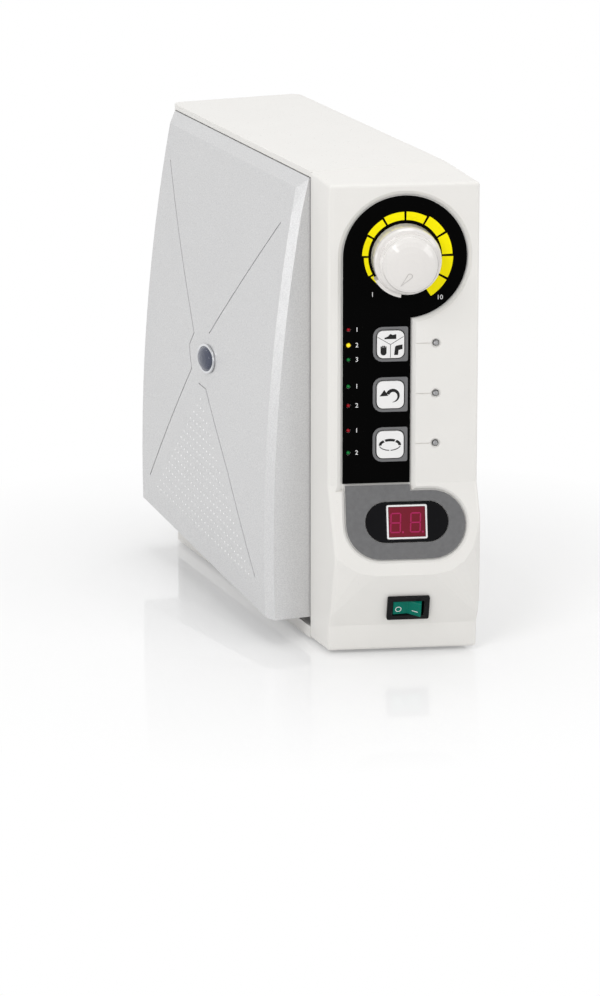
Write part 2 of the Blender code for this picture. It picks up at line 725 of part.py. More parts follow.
def front_openings():
    """Every hole through the bezel's upright face, as one cutter."""
    holes = status_holes(GAP)
    holes += [key_outline(height, GAP * 2) for height in KEY_HEIGHTS]
    holes.append(circle((DIAL_CENTRE_U, DIAL_CENTRE_HEIGHT), BUSH_RADIUS + GAP))
    return plate("front_openings", holes, -BEZEL_WALL - OVERRUN, OVERRUN)


def front_bezel():
    bezel = bezel_solid("front_bezel", 0, 0, CASE_BOTTOM, CASE_TOP, BEZEL_TOP_DROP, "white_plastic")
    bevel(bezel, BEZEL_EDGE_RADIUS, 3, 40, False)
    bezel.modifiers.new("flat_faces", "TRIANGULATE")
    top = CASE_TOP - TOP_THICKNESS - BEZEL_TOP_DROP
    cut(bezel, bezel_solid("bezel_inside", WALL, BEZEL_WALL, CASE_BOTTOM + WALL, top, 0))
    low = (LEFT - OVERRUN, BEZEL_DEPTH, -OVERRUN)
    cut(bezel, block("bezel_rear_cut", low, (RIGHT + OVERRUN, CASE_DEPTH, CASE_TOP + OVERRUN)))
    guides, sinks = [], []
    for i, height in enumerate(KEY_HEIGHTS):
        low = (STEM_RIGHT + RECESS_FLARE / 2, -OVERRUN, height - GUIDE_LINE_WIDTH / 2)
        high = (INDICATOR_U - INDICATOR_SINK_RADIUS / 2, GUIDE_LINE_DEPTH, height + GUIDE_LINE_WIDTH / 2)
        guides.append(block(f"guide_line_{i + 1}", low, high, FRONT_FACE))
        sinks.append(indicator_sink(f"indicator_sink_{i + 1}", height))
    centre = (SURROUND_CENTRE_U, -SURROUND_CENTRE_S)
    size = (DISPLAY_MODULE_WIDTH + 2 * GAP, DISPLAY_MODULE_HEIGHT + 2 * GAP)
    opening = rounded_box(centre, *size, (0,) * 4)
    display_hole = plate("display_opening", [opening], -BEZEL_WALL - OVERRUN, OVERRUN, DISPLAY_FACE)
    centre = (SWITCH_CENTRE_U, SWITCH_CENTRE_RISE)
    size = (SWITCH_BODY_WIDTH + 2 * GAP, SWITCH_BODY_HEIGHT + 2 * GAP)
    opening = rounded_box(centre, *size, (0,) * 4)
    switch_hole = plate("switch_opening", [opening], -BEZEL_WALL - OVERRUN, OVERRUN, SCOOP_FACE)
    overlay_pocket = pocket("overlay_pocket", recess_outline, RECESS_DEPTH, RECESS_FLARE, FRONT_FACE)
    plate_pocket = pocket("plate_pocket", display_plate_outline, RECESS_DEPTH, PLATE_FLARE, DISPLAY_FACE)
    cut(bezel, joined("plate_cutters", plate_pocket, front_openings(), switch_hole, *sinks))
    cut(bezel, joined("overlay_cutters", overlay_pocket, display_hole))
    cut(bezel, joined("guide_lines", *guides))


def indicator_sink(name, height):
    """A countersunk hole for a clear lamp."""
    rings = []
    bore = INDICATOR_RADIUS + GAP
    mouth = INDICATOR_SINK_RADIUS + OVERRUN
    steps = ((-BEZEL_WALL - OVERRUN, bore), (-INDICATOR_SINK_DEPTH, bore), (OVERRUN, mouth))
    for out, radius in steps:
        ring = circle((INDICATOR_U, height), radius)
        rings.append([(u, -out, z) for u, z in ring])
    return loft(name, rings, FRONT_FACE)


def joined(name, *cutters):
    """Cutters that don't touch one another, as one."""
    bpy.context.view_layer.update()
    build = bmesh.new()
    for cutter in cutters:
        cutter.data.transform(cutter.matrix_world)
        build.from_mesh(cutter.data)
        bpy.data.objects.remove(cutter)
    mesh = bpy.data.meshes.new(name)
    build.to_mesh(mesh)
    build.free()
    return adopt(bpy.data.objects.new(name, mesh), name, UNIT)


# Overlay, display plate and window


def overlay():
    outer = -RECESS_DEPTH + GAP + OVERLAY_THICKNESS
    inner = -RECESS_DEPTH + GAP
    outline = recess_outline(-GAP, CREASE_HEIGHT + OVERLAY_BOTTOM_MARGIN)
    holes = status_holes(GAP) + [key_outline(height, GAP * 2) for height in KEY_HEIGHTS]
    holes.append(circle((DIAL_CENTRE_U, DIAL_CENTRE_HEIGHT), OVERLAY_HUB_RADIUS))
    plate("control_overlay", [outline, *holes], inner, outer, FRONT_FACE, "black_gloss")


def stadium(width, height, grow=0):
    size = (width + 2 * grow, height + 2 * grow)
    return rounded_box((SURROUND_CENTRE_U, -SURROUND_CENTRE_S), *size, (size[1] / 2,) * 4, 8)


def window_outline(grow):
    size = (WINDOW_WIDTH + 2 * grow, WINDOW_HEIGHT + 2 * grow)
    radius = max(WINDOW_CORNER_RADIUS + grow, GAP)
    return rounded_box((SURROUND_CENTRE_U, -SURROUND_CENTRE_S), *size, (radius,) * 4, 3)


def display():
    inner = -RECESS_DEPTH + GAP
    outer = inner + OVERLAY_THICKNESS
    rim = display_plate_outline(0, GAP)
    # The plate's square upper left corner runs on up to the overlay's foot.
    corner = rim.index(next(point for point in rim if point[0] == PLATE_LEFT + GAP))
    foot_right = STEM_RIGHT - GAP
    neck = [(foot_right, -PLATE_TOP - GAP), (foot_right, -GAP), (PLATE_LEFT + GAP, -GAP)]
    outline = rim[:corner] + neck + rim[corner + 1 :]
    hole = stadium(DISPLAY_SURROUND_WIDTH, DISPLAY_SURROUND_HEIGHT)
    plate("display_plate", [outline, hole], inner, outer, DISPLAY_FACE, "grey_plastic")
    shape = stadium(DISPLAY_SURROUND_WIDTH, DISPLAY_SURROUND_HEIGHT, -GAP)
    plate("display_surround", [shape, window_outline(GAP / 2)], inner, outer, DISPLAY_FACE, "black_gloss")
    frame = [window_outline(-GAP / 2), window_outline(-WINDOW_BORDER)]
    plate("display_frame", frame, inner, outer + GAP, DISPLAY_FACE, "white_plastic")
    pane = window_outline(-WINDOW_BORDER - GAP / 2)
    plate("display_window", [pane], inner, outer - WINDOW_SINK + GAP, DISPLAY_FACE, "red_window")
    centre = (SURROUND_CENTRE_U, -SURROUND_CENTRE_S)
    body = rounded_box(centre, DISPLAY_MODULE_WIDTH, DISPLAY_MODULE_HEIGHT, (0,) * 4)
    top = inner - GAP
    plate("display_module", [body], top - DISPLAY_MODULE_DEPTH, top, DISPLAY_FACE, "black_plastic")


# Speed knob and potentiometer


def knob():
    axis = empty("knob_axis", FRONT_FACE, (DIAL_CENTRE_U, 0, DIAL_CENTRE_HEIGHT))
    base = KNOB_CLEARANCE - RECESS_DEPTH + GAP + OVERLAY_THICKNESS
    roof = KNOB_SHOULDER_HEIGHT - KNOB_WALL
    hub_bottom = BUSH_END + KNOB_CLEARANCE + GAP
    shoulder = [
        (KNOB_RADIUS - (KNOB_RADIUS - KNOB_NECK_RADIUS) * (1 - math.cos(math.radians(a))),
         KNOB_SKIRT_HEIGHT + (KNOB_SHOULDER_HEIGHT - KNOB_SKIRT_HEIGHT) * math.sin(math.radians(a)))
        for a in (0, 30, 60, 90)
    ]
    profile = [(0, KNOB_NECK_HEIGHT), (KNOB_NECK_RADIUS - KNOB_EDGE, KNOB_NECK_HEIGHT)]
    profile += [(KNOB_NECK_RADIUS, KNOB_NECK_HEIGHT - KNOB_EDGE)]
    profile += list(reversed(shoulder))
    profile += [
        (KNOB_RADIUS, base),
        (KNOB_RADIUS - KNOB_WALL, base),
        (KNOB_RADIUS - KNOB_WALL, roof),
        (KNOB_HUB_RADIUS, roof),
        (KNOB_HUB_RADIUS, hub_bottom),
        (SHAFT_RADIUS + GAP, hub_bottom),
        (SHAFT_RADIUS + GAP, SHAFT_END + GAP),
        (0, SHAFT_END + GAP),
    ]
    skirt = turned("knob_skirt", profile, frame=axis, look="white_plastic")
    outer = arc((0, 0), LUG_RADIUS, LUG_START, LUG_END, LUG_STEPS)
    inner = arc((0, 0), KNOB_RADIUS - KNOB_WALL / 2, LUG_END, LUG_START, LUG_STEPS)
    fuse(skirt, plate("knob_lug", [outer + inner], base, KNOB_SKIRT_HEIGHT, axis))
    rim = KNOB_NECK_HEIGHT + GAP
    dome = [
        (KNOB_CAP_RADIUS * math.sin(math.radians(a)),
         rim + KNOB_CAP_RIM + KNOB_DOME_HEIGHT * math.cos(math.radians(a)))
        for a in range(0, 91, 15)
    ]
    cap = dome + [(KNOB_CAP_RADIUS, rim), (0, rim)]
    turned("knob_cap", cap, frame=axis, look="white_plastic")
    rod("pot_shaft", SHAFT_RADIUS, (0, -SHAFT_END, 0), (0, BEZEL_WALL, 0), axis, "steel")
    back = -BEZEL_WALL - GAP
    body = [
        (0, back - GAP),
        (SHAFT_RADIUS + GAP, back - GAP),
        (SHAFT_RADIUS + GAP, BUSH_END),
        (BUSH_RADIUS, BUSH_END),
        (BUSH_RADIUS, back),
        (POT_RADIUS, back),
        (POT_RADIUS, back - POT_LENGTH),
        (0, back - POT_LENGTH),
    ]
    turned("pot_body", body, (DIAL_CENTRE_U, 0, DIAL_CENTRE_HEIGHT), look="steel", steps=24)
    centre = (DIAL_CENTRE_U, DIAL_CENTRE_HEIGHT)
    low = -RECESS_DEPTH + GAP
    nut = [circle(centre, NUT_RADIUS, NUT_SIDES), circle(centre, BUSH_RADIUS + GAP)]
    plate("pot_nut", nut, low, low + NUT_HEIGHT, FRONT_FACE, "steel")


# Keys, lamps and control board


def keys():
    overlay_top = -RECESS_DEPTH + GAP + OVERLAY_THICKNESS
    switch_top = -BOARD_SETBACK + GAP + SWITCH_HEIGHT
    stem_end = switch_top + KEY_TRAVEL + GAP
    half = KEY_STEM_WIDTH / 2
    for name, height in zip(KEY_NAMES, KEY_HEIGHTS):
        axis = empty(f"{name}_key_axis", FRONT_FACE, (KEY_CENTRE_U, 0, height))
        outline = rounded_box((0, 0), KEY_WIDTH, KEY_LENGTH, (KEY_CORNER_RADIUS,) * 4)
        top = KEY_PROUD - RECESS_DEPTH + OVERLAY_THICKNESS
        key = plate(f"{name}_key", [outline], -KEY_SKIRT, top, axis, "white_plastic")
        bevel(key, KEY_EDGE_BEVEL, 2, 50)
        stem = rectangle(-half, half, -half, half)
        fuse(key, plate(f"{name}_stem", [stem], stem_end, -KEY_SKIRT + GAP, axis))
        size = (SURROUND_WIDTH, SURROUND_LENGTH)
        radii = (SURROUND_CORNER_RADIUS, SURROUND_INNER_RADIUS, SURROUND_INNER_RADIUS, SURROUND_CORNER_RADIUS)
        rim = [rounded_box((KEY_CENTRE_U, height), *size, radii), key_outline(height, GAP * 2)]
        low = overlay_top + GAP
        plate(f"{name}_surround", rim, low, low + SURROUND_PROUD, FRONT_FACE, "grey_plastic")
        reach = SWITCH_WIDTH / 2
        low = (KEY_CENTRE_U - reach, -switch_top, height - reach)
        high = (KEY_CENTRE_U + reach, BOARD_SETBACK - GAP, height + reach)
        block(f"{name}_switch", low, high, FRONT_FACE, "black_plastic")


def lamp_profile(radius, tip, foot):
    angles = [math.radians(degrees) for degrees in (0, 30, 60, 90)]
    dome = [(radius * math.sin(a), tip - radius * (1 - math.cos(a))) for a in angles]
    return dome + [(radius, foot), (0, foot)]


def lamps():
    foot = -BOARD_SETBACK + GAP
    looks = ("red_lamp", "yellow_lamp", "green_lamp", "green_lamp", "red_lamp", "red_lamp", "green_lamp")
    tip = -RECESS_DEPTH + GAP + OVERLAY_THICKNESS + STATUS_LAMP_PROUD
    for i, (height, look) in enumerate(zip(STATUS_LAMP_HEIGHTS, looks)):
        profile = lamp_profile(STATUS_LAMP_RADIUS, tip, foot)
        turned(f"status_lamp_{i + 1}", profile, (STATUS_LAMP_U, 0, height), look=look, steps=LAMP_STEPS)
    for i, height in enumerate(KEY_HEIGHTS):
        profile = lamp_profile(INDICATOR_RADIUS, INDICATOR_PROUD, foot)
        place = (INDICATOR_U, 0, height)
        turned(f"indicator_lamp_{i + 1}", profile, place, look="clear_lamp", steps=LAMP_STEPS)


def control_board():
    low = (BOARD_LEFT, BOARD_SETBACK, STATUS_LAMP_HEIGHTS[-1] - BOARD_BOTTOM_MARGIN)
    top = STATUS_LAMP_HEIGHTS[0] + BOARD_TOP_MARGIN
    high = (BOARD_RIGHT, BOARD_SETBACK + BOARD_THICKNESS, top)
    block("control_board", low, high, FRONT_FACE, "board")


# Power switch


def power_switch():
    centre = (SWITCH_CENTRE_U, SWITCH_CENTRE_RISE)
    corners = (SWITCH_FLANGE_CORNER,) * 4
    flange = rounded_box(centre, SWITCH_FLANGE_WIDTH, SWITCH_FLANGE_HEIGHT, corners, 3)
    top = GAP + SWITCH_FLANGE_THICKNESS
    body = plate("power_switch_body", [flange], GAP, top, SCOOP_FACE, "black_plastic")
    can = rounded_box(centre, SWITCH_BODY_WIDTH, SWITCH_BODY_HEIGHT, (0,) * 4)
    can_top = GAP + SWITCH_FLANGE_THICKNESS / 2
    fuse(body, plate("switch_can", [can], GAP - SWITCH_BODY_DEPTH, can_top, SCOOP_FACE))
    mouth = rounded_box(centre, ROCKER_OPENING_WIDTH, ROCKER_OPENING_HEIGHT, (0,) * 4)
    cut(body, plate("switch_mouth", [mouth], -ROCKER_POCKET_DEPTH, OVERRUN, SCOOP_FACE))
    pivot = empty("rocker_axis", SCOOP_FACE, (SWITCH_CENTRE_U, ROCKER_PIVOT_DEPTH, SWITCH_CENTRE_RISE))
    half = ROCKER_LENGTH / 2
    root = arc((0, 0), ROCKER_ROOT, math.radians(10), math.radians(170), ROCKER_STEPS)
    face = [(-half, -ROCKER_RISE), (0, -ROCKER_WAIST), (half, -ROCKER_RISE)]
    outline = root + [(-half, 0)] + face + [(half, 0)]
    reach = ROCKER_WIDTH / 2
    rocker = flat_solid("power_rocker", [outline], -reach, reach, frame=pivot, look="green_rocker")
    rocker.rotation_euler = (0, 0, -ROCKER_TILT)
    bevel(rocker, GAP, 1, 60)


# Main housing, base and back


def case_outline(inset=0):
    """The case behind the bezel, seen from above, with round rear corners."""
    front, rear = BEZEL_DEPTH + SEAM_GAP, CASE_DEPTH - inset
    centre = (0, (front + rear) / 2)
    radius = REAR_CORNER_RADIUS - inset
    return rounded_box(centre, CASE_WIDTH - 2 * inset, rear - front, (0, 0, radius, radius))


def main_housing():
    low = BASE_SEAM_HEIGHT + GAP
    housing = flat_solid("main_housing", [case_outline()], low, CASE_TOP, look="white_plastic")
    bevel(housing, COVER_EDGE_BEVEL, 2, 60)
    roof = CASE_TOP - TOP_THICKNESS
    wall, far, rear = WALL, CASE_DEPTH + OVERRUN, CASE_DEPTH - REAR_POST_WIDTH
    outline = [(RIGHT - wall, -OVERRUN), (RIGHT - wall, far), (LEFT + wall, far)]
    outline += [(LEFT + wall, rear), (LEFT - OVERRUN, rear), (LEFT - OVERRUN, -OVERRUN)]
    cut(housing, flat_solid("housing_inside", [outline], -OVERRUN, roof))


def base_tray():
    tray = flat_solid("base_tray", [case_outline()], CASE_BOTTOM, BASE_SEAM_HEIGHT, look="white_plastic")
    front = BEZEL_DEPTH + SEAM_GAP + WALL
    low = (LEFT + WALL, front, CASE_BOTTOM + BASE_THICKNESS)
    cut(tray, block("tray_inside", low, (RIGHT - WALL, CASE_DEPTH - WALL, CASE_TOP)))
    for i, (x, y) in enumerate(foot_places()):
        cut(tray, rod(f"foot_hole_{i + 1}", FOOT_PEG_RADIUS + GAP, (x, y, 0), (x, y, CASE_TOP / 2)))


def foot_places():
    return [(x, y) for y in FOOT_Y for x in (-FOOT_X, FOOT_X)]


def feet():
    names = ("front_left", "front_right", "rear_left", "rear_right")
    top = CASE_BOTTOM - GAP
    profile = [
        (0, top + FOOT_PEG_HEIGHT),
        (FOOT_PEG_RADIUS, top + FOOT_PEG_HEIGHT),
        (FOOT_PEG_RADIUS, top),
        (FOOT_RADIUS, top),
        (FOOT_RADIUS, FOOT_BEVEL),
        (FOOT_RADIUS - FOOT_BEVEL, 0),
        (0, 0),
    ]
    for name, (x, y) in zip(names, foot_places()):
        turned(f"foot_{name}", profile, (x, y, 0), Matrix(), UNIT, "rubber", FOOT_STEPS)


def inlet_mouth_outline(centre, grow=0):
    """A plug's outline: a rectangle with its two upper corners cut off."""
    half_width, half_height = INLET_MOUTH[0] / 2 + grow, INLET_MOUTH[1] / 2 + grow
    x, z = centre
    points = [(x - half_width, z - half_height), (x + half_width, z - half_height)]
    points += [(x + half_width, z + half_height - INLET_MOUTH_CHAMFER)]
    points += [(x + half_width - INLET_MOUTH_CHAMFER, z + half_height)]
    points += [(x - half_width + INLET_MOUTH_CHAMFER, z + half_height)]
    points += [(x - half_width, z + half_height - INLET_MOUTH_CHAMFER)]
    return points


def rear_plate(name, outlines, low, high, look=None):
    """A plate between two distances behind the case's back, with X and Z as its own directions."""
    return flat_solid(name, outlines, -high, -low, TO_FRONT, REAR_FACE, look)


def rear_panel():
    edge = LEFT + WALL + GAP
    outline = rectangle(edge, -edge, BASE_SEAM_HEIGHT + GAP, CASE_TOP - TOP_THICKNESS - GAP)
    size = (INLET_BODY[0] + 2 * GAP, INLET_BODY[1] + 2 * GAP)
    holes = [rounded_box((INLET_X, INLET_HEIGHT), *size, (0,) * 4)]
    holes.append(circle((SOCKET_X, MOTOR_SOCKET_HEIGHT), MOTOR_SOCKET_RADIUS + GAP))
    holes.append(circle((SOCKET_X, FOOT_SOCKET_HEIGHT), FOOT_SOCKET_RADIUS + GAP))
    for i in range(VENT_COUNT):
        centre = (0, CASE_TOP - VENT_TOP_DROP - i * VENT_PITCH)
        holes.append(rounded_box(centre, VENT_WIDTH, VENT_HEIGHT, (VENT_HEIGHT / 2,) * 4, 2))
    rear_plate("rear_panel", [outline, *holes], -REAR_PANEL_THICKNESS, 0, "white_plastic")


def mains_inlet():
    centre = (INLET_X, INLET_HEIGHT)
    flange = rounded_box(centre, *INLET_FLANGE, (INLET_FLANGE_CORNER,) * 4, 3)
    inlet = rear_plate("mains_inlet", [flange], GAP, GAP + INLET_FLANGE_THICKNESS, "black_plastic")
    can = rounded_box(centre, *INLET_BODY, (0,) * 4)
    can_top = GAP + INLET_FLANGE_THICKNESS / 2
    fuse(inlet, rear_plate("inlet_can", [can], GAP - INLET_BODY_DEPTH, can_top))
    middle = (INLET_X, INLET_HEIGHT + INLET_MOUTH_RISE)
    cut(inlet, rear_plate("inlet_mouth", [inlet_mouth_outline(middle)], -INLET_MOUTH_DEPTH, OVERRUN))
    slot_centre = (INLET_X, INLET_HEIGHT - DRAWER_DROP)
    slot = rounded_box(slot_centre, DRAWER[0] + 2 * GAP, DRAWER[1] + 2 * GAP, (0,) * 4)
    cut(inlet, rear_plate("drawer_slot", [slot], -DRAWER_DEPTH - GAP, OVERRUN))
    for i, (x, z) in enumerate(INLET_PIN_PLACES):
        blade = rounded_box((middle[0] + x, middle[1] + z), *INLET_PIN, (0,) * 4)
        floor = -INLET_MOUTH_DEPTH
        fuse(inlet, rear_plate(f"inlet_pin_{i + 1}", [blade], floor - PIN_ROOT, floor + INLET_PIN_LENGTH))
    axis = empty("drawer_axis", REAR_FACE, (INLET_X, 0, INLET_HEIGHT - DRAWER_DROP))
    front = GAP + INLET_FLANGE_THICKNESS
    body = rounded_box((0, 0), *DRAWER, (0,) * 4)
    face = -front - DRAWER_FACE_PROUD
    drawer = flat_solid("fuse_drawer", [body], face, DRAWER_DEPTH, TO_FRONT, axis, "black_plastic")
    grip = rounded_box((0, 0), DRAWER[0] / 2, DRAWER_GRIP, (0,) * 4)
    cut(drawer, flat_solid("drawer_grip", [grip], -OVERRUN * 2, -front, TO_FRONT, axis))


def round_socket(name, height, radius, pins):
    """A round panel socket with short pins in its floor."""
    bore = radius - SOCKET_WALL
    flange = radius + SOCKET_FLANGE_WIDTH
    top = GAP + SOCKET_FLANGE_THICKNESS
    profile = [
        (0, top - SOCKET_MOUTH_DEPTH),
        (bore, top - SOCKET_MOUTH_DEPTH),
        (bore, top),
        (flange - SOCKET_EDGE, top),
        (flange, top - SOCKET_EDGE),
        (flange, GAP),
        (radius, GAP),
        (radius, GAP - SOCKET_BODY_DEPTH),
        (0, GAP - SOCKET_BODY_DEPTH),
    ]
    socket = turned(name, profile, (SOCKET_X, 0, height), TO_REAR, REAR_FACE, "steel", 24)
    floor = top - SOCKET_MOUTH_DEPTH
    for i in range(pins):
        angle = math.radians(135) + math.tau * i / pins
        x = SOCKET_X + SOCKET_PIN_RING_SHARE * bore * math.cos(angle)
        z = height + SOCKET_PIN_RING_SHARE * bore * math.sin(angle)
        start, end = (x, floor - PIN_ROOT, z), (x, floor + SOCKET_PIN_LENGTH, z)
        fuse(socket, rod(f"{name}_pin_{i + 1}", SOCKET_PIN_RADIUS, start, end, REAR_FACE, sides=10))


# Knee panel


def panel_bottom(y):
    return PANEL_BOTTOM_FRONT + PANEL_BOTTOM_SLOPE * (y - PANEL_FRONT)


def panel_x(height):
    """The outer face of the knee panel: an upright arc that is proudest at the crown height."""
    rise = height - PANEL_CROWN_HEIGHT
    fall = PANEL_CROWN_RADIUS - math.sqrt(PANEL_CROWN_RADIUS**2 - rise**2)
    return LEFT - PANEL_PROUD + fall


def panel_section(y, sink, wall, inner_x):
    """A section of the knee panel across Y. sink moves the face inwards, and wall is taken off all round."""
    top = PANEL_TOP - wall
    bottom = panel_bottom(y) + wall
    edge_x = LEFT - PANEL_TOP_EDGE + wall
    face_top = PANEL_TOP - PANEL_TOP_BEVEL - wall / 2
    share = sink / PANEL_BEVEL_DEPTH
    points = [(inner_x, y, top), (edge_x, y, top)]
    for i in range(PANEL_STEPS + 1):
        height = face_top + (bottom - face_top) * i / PANEL_STEPS
        x = panel_x(height) + sink + wall
        if i == 0:
            height += (top - GAP - height) * share
            x += (edge_x - GAP - x) * share
        points.append((x, y, height))
    points.append((inner_x, y, bottom))
    return [Vector(point) for point in points]


def knee_ear(i, y):
    """The hinge lug from the panel's face to the pin."""
    centre = Vector((HINGE_X, 0, HINGE_HEIGHT))
    towards = EAR_FOOT - centre
    facing = math.atan2(towards.z, towards.x)
    quarter = math.radians(90)
    outline = arc((centre.x, centre.z), EAR_RADIUS, facing - quarter, facing - 3 * quarter, 12)
    outline += arc((EAR_FOOT.x, EAR_FOOT.z), EAR_FOOT_RADIUS, facing + quarter, facing - quarter, 6)
    low, high = -y - EAR_THICKNESS / 2, -y + EAR_THICKNESS / 2
    return flat_solid(f"knee_ear_{i}", [outline], low, high, TO_FRONT, KNEE_AXIS_HOME)


def knee_groove(i, shares):
    """A cutter for a fine groove that runs over the panel's curved face through a few bends."""
    length = PANEL_REAR - PANEL_FRONT
    bends = [Vector((PANEL_FRONT + along * length, up * PANEL_TOP)) for along, up in shares]
    points = []
    for first, second in zip(bends, bends[1:]):
        steps = max(1, round((second - first).length / GROOVE_STEP))
        points += [first.lerp(second, step / steps) for step in range(steps)]
    points.append(bends[-1])
    sections = []
    for before, point, after in zip(points[:1] + points[:-1], points, points[1:] + points[-1:]):
        arriving, leaving = (point - before).normalized(), (after - point).normalized()
        mitre = (arriving + leaving).normalized()
        reach = GROOVE_WIDTH / 2 / max(mitre.dot(arriving), mitre.dot(leaving))
        left = point + reach * Vector((-mitre.y, mitre.x))
        right = point - reach * Vector((-mitre.y, mitre.x))
        over, floor = -GROOVE_OVERRUN, GROOVE_DEPTH
        corners = ((left, over), (left, floor), (right, floor), (right, over))
        sections.append([Vector((panel_x(side.y) + depth, side.x, side.y)) for side, depth in corners])
    return loft(f"knee_groove_{i}", sections, KNEE_AXIS_HOME)


def knee_panel():
    inner_x = LEFT + PANEL_INNER_OFFSET
    front, rear = PANEL_FRONT, PANEL_REAR
    stations = (
        (front, PANEL_BEVEL_DEPTH),
        (front + PANEL_BEVEL_LENGTH, 0),
        (rear - PANEL_BEVEL_LENGTH, 0),
        (rear, PANEL_BEVEL_DEPTH),
    )
    sections = [panel_section(y, sink, 0, inner_x) for y, sink in stations]
    panel = loft("knee_panel", sections, KNEE_AXIS_HOME, "silver_paint")
    shade(panel, 12)
    open_x = inner_x + OVERRUN
    wall = PANEL_WALL
    wall_sink = PANEL_BEVEL_DEPTH * (1 - wall / PANEL_BEVEL_LENGTH)
    stations = (
        (front + wall, wall_sink),
        (front + PANEL_BEVEL_LENGTH, 0),
        (rear - PANEL_BEVEL_LENGTH, 0),
        (rear - wall, wall_sink),
    )
    sections = [panel_section(y, sink, wall, open_x) for y, sink in stations]
    cut(panel, loft("knee_panel_inside", sections, KNEE_AXIS_HOME))
    grooves = [knee_groove(i + 1, shares) for i, shares in enumerate(GROOVE_SHARES)]
    cut(panel, joined("knee_grooves", *grooves))
    for i, y in enumerate(EAR_CENTRES):
        fuse(panel, knee_ear(i + 1, y))
    start = (HINGE_X, HINGE_PIN_START - OVERRUN, HINGE_HEIGHT)
    end = (HINGE_X, HINGE_PIN_END + OVERRUN, HINGE_HEIGHT)
    cut(panel, rod("ear_bore", HINGE_PIN_RADIUS + GAP, start, end, KNEE_AXIS_HOME, sides=20))


def knee_badge():
    """An oval badge on the face of the knee panel: a rim and a dome, left blank."""
    upper, lower = BADGE_HEIGHT + BADGE_WIDTH / 2, BADGE_HEIGHT - BADGE_WIDTH / 2
    slope = (panel_x(upper) - panel_x(lower)) / BADGE_WIDTH
    rings = []
    profile = [(1, -BADGE_THICKNESS / 2), (1, BADGE_THICKNESS / 2)]
    inner = 1 - BADGE_RIM / (BADGE_WIDTH / 2)
    profile += [(inner, BADGE_THICKNESS / 2)]
    for degrees in (25, 50, 75):
        angle = math.radians(degrees)
        profile.append((inner * math.cos(angle), BADGE_THICKNESS / 2 + BADGE_DOME * math.sin(angle)))
    for share, out in profile:
        ring = []
        for i in range(32):
            angle = math.tau * i / 32
            y = BADGE_LENGTH / 2 * share * math.cos(angle)
            z = BADGE_WIDTH / 2 * share * math.sin(angle)
            ring.append((-out, y, z))
        rings.append(ring)
    badge = loft("knee_badge", rings, KNEE_AXIS_HOME, "chrome")
    shade(badge, 50)
    face = panel_x(BADGE_HEIGHT) - BADGE_THICKNESS / 2 - GAP
    badge.location = (face, BADGE_Y, BADGE_HEIGHT)
    badge.rotation_euler = (0, math.atan(slope), 0)


def knee_hinge():
    start, end = (HINGE_X, HINGE_PIN_START, HINGE_HEIGHT), (HINGE_X, HINGE_PIN_END, HINGE_HEIGHT)
    rod("knee_hinge_pin", HINGE_PIN_RADIUS, start, end, look="steel", sides=20)
    wall = INNER_WALL_X - GAP
    for name, y in zip(("front", "rear"), BRACKET_CENTRES):
        quarter = math.radians(90)
        nose = arc((HINGE_X, HINGE_HEIGHT), EAR_RADIUS, quarter, 3 * quarter, 12)
        outline = nose + [(wall, HINGE_HEIGHT - BRACKET_FOOT_LENGTH), (wall, HINGE_HEIGHT + EAR_RADIUS)]
        bore = circle((HINGE_X, HINGE_HEIGHT), HINGE_PIN_RADIUS + GAP, 20)
        low, high = -y - BRACKET_THICKNESS / 2, -y + BRACKET_THICKNESS / 2
        flat_solid(f"knee_bracket_{name}", [outline, bore], low, high, TO_FRONT, UNIT, "steel")


def knee_spring():
    """A torsion spring round the hinge pin, with one leg against the inner wall."""
    points = []
    count = SPRING_TURNS * SPRING_POINTS_PER_TURN
    for i in range(count + 1):
        angle = math.tau * i / SPRING_POINTS_PER_TURN
        y = SPRING_START + SPRING_PITCH * i / SPRING_POINTS_PER_TURN
        x = HINGE_X + SPRING_RADIUS * math.sin(angle)
        points.append((x, y, HINGE_HEIGHT - SPRING_RADIUS * math.cos(angle)))
    first, last = Vector(points[0]), Vector(points[-1])
    points.insert(0, first + Vector((-SPRING_LEG / 3, 0, 0)))
    points.append(last + Vector((SPRING_LEG, 0, 0)))
    curve = bpy.data.curves.new("knee_spring", "CURVE")
    curve.dimensions = "3D"
    curve.bevel_depth = SPRING_WIRE_RADIUS
    curve.bevel_resolution = 1
    curve.use_fill_caps = True
    spline = curve.splines.new("POLY")
    spline.points.add(len(points) - 1)
    for target, point in zip(spline.points, points):
        target.co = (*point, 1)
    wire = bpy.data.objects.new("knee_spring_wire", curve)
    CUTTERS.objects.link(wire)
    mesh = bpy.data.meshes.new_from_object(wire.evaluated_get(bpy.context.evaluated_depsgraph_get()))
    bpy.data.objects.remove(wire)
    weld(mesh)
    shade(adopt(bpy.data.objects.new("knee_spring", mesh), "knee_spring", UNIT, "steel"), 60)


def inner_wall():
    low = (INNER_WALL_X, PANEL_FRONT + WALL, CASE_BOTTOM + BASE_THICKNESS + GAP)
    rear = CASE_DEPTH - INNER_WALL_REAR_GAP
    high = (INNER_WALL_X + INNER_WALL_THICKNESS, rear, CASE_TOP - TOP_THICKNESS - GAP)
    wall = block("inner_wall", low, high, look="aluminium")
    place = (PLUNGER_Y, PLUNGER_HEIGHT)
    start, end = (INNER_WALL_X - OVERRUN, *place), (INNER_WALL_X + OVERRUN, *place)
    cut(wall, rod("guide_hole", GUIDE_RADIUS + GAP, start, end))


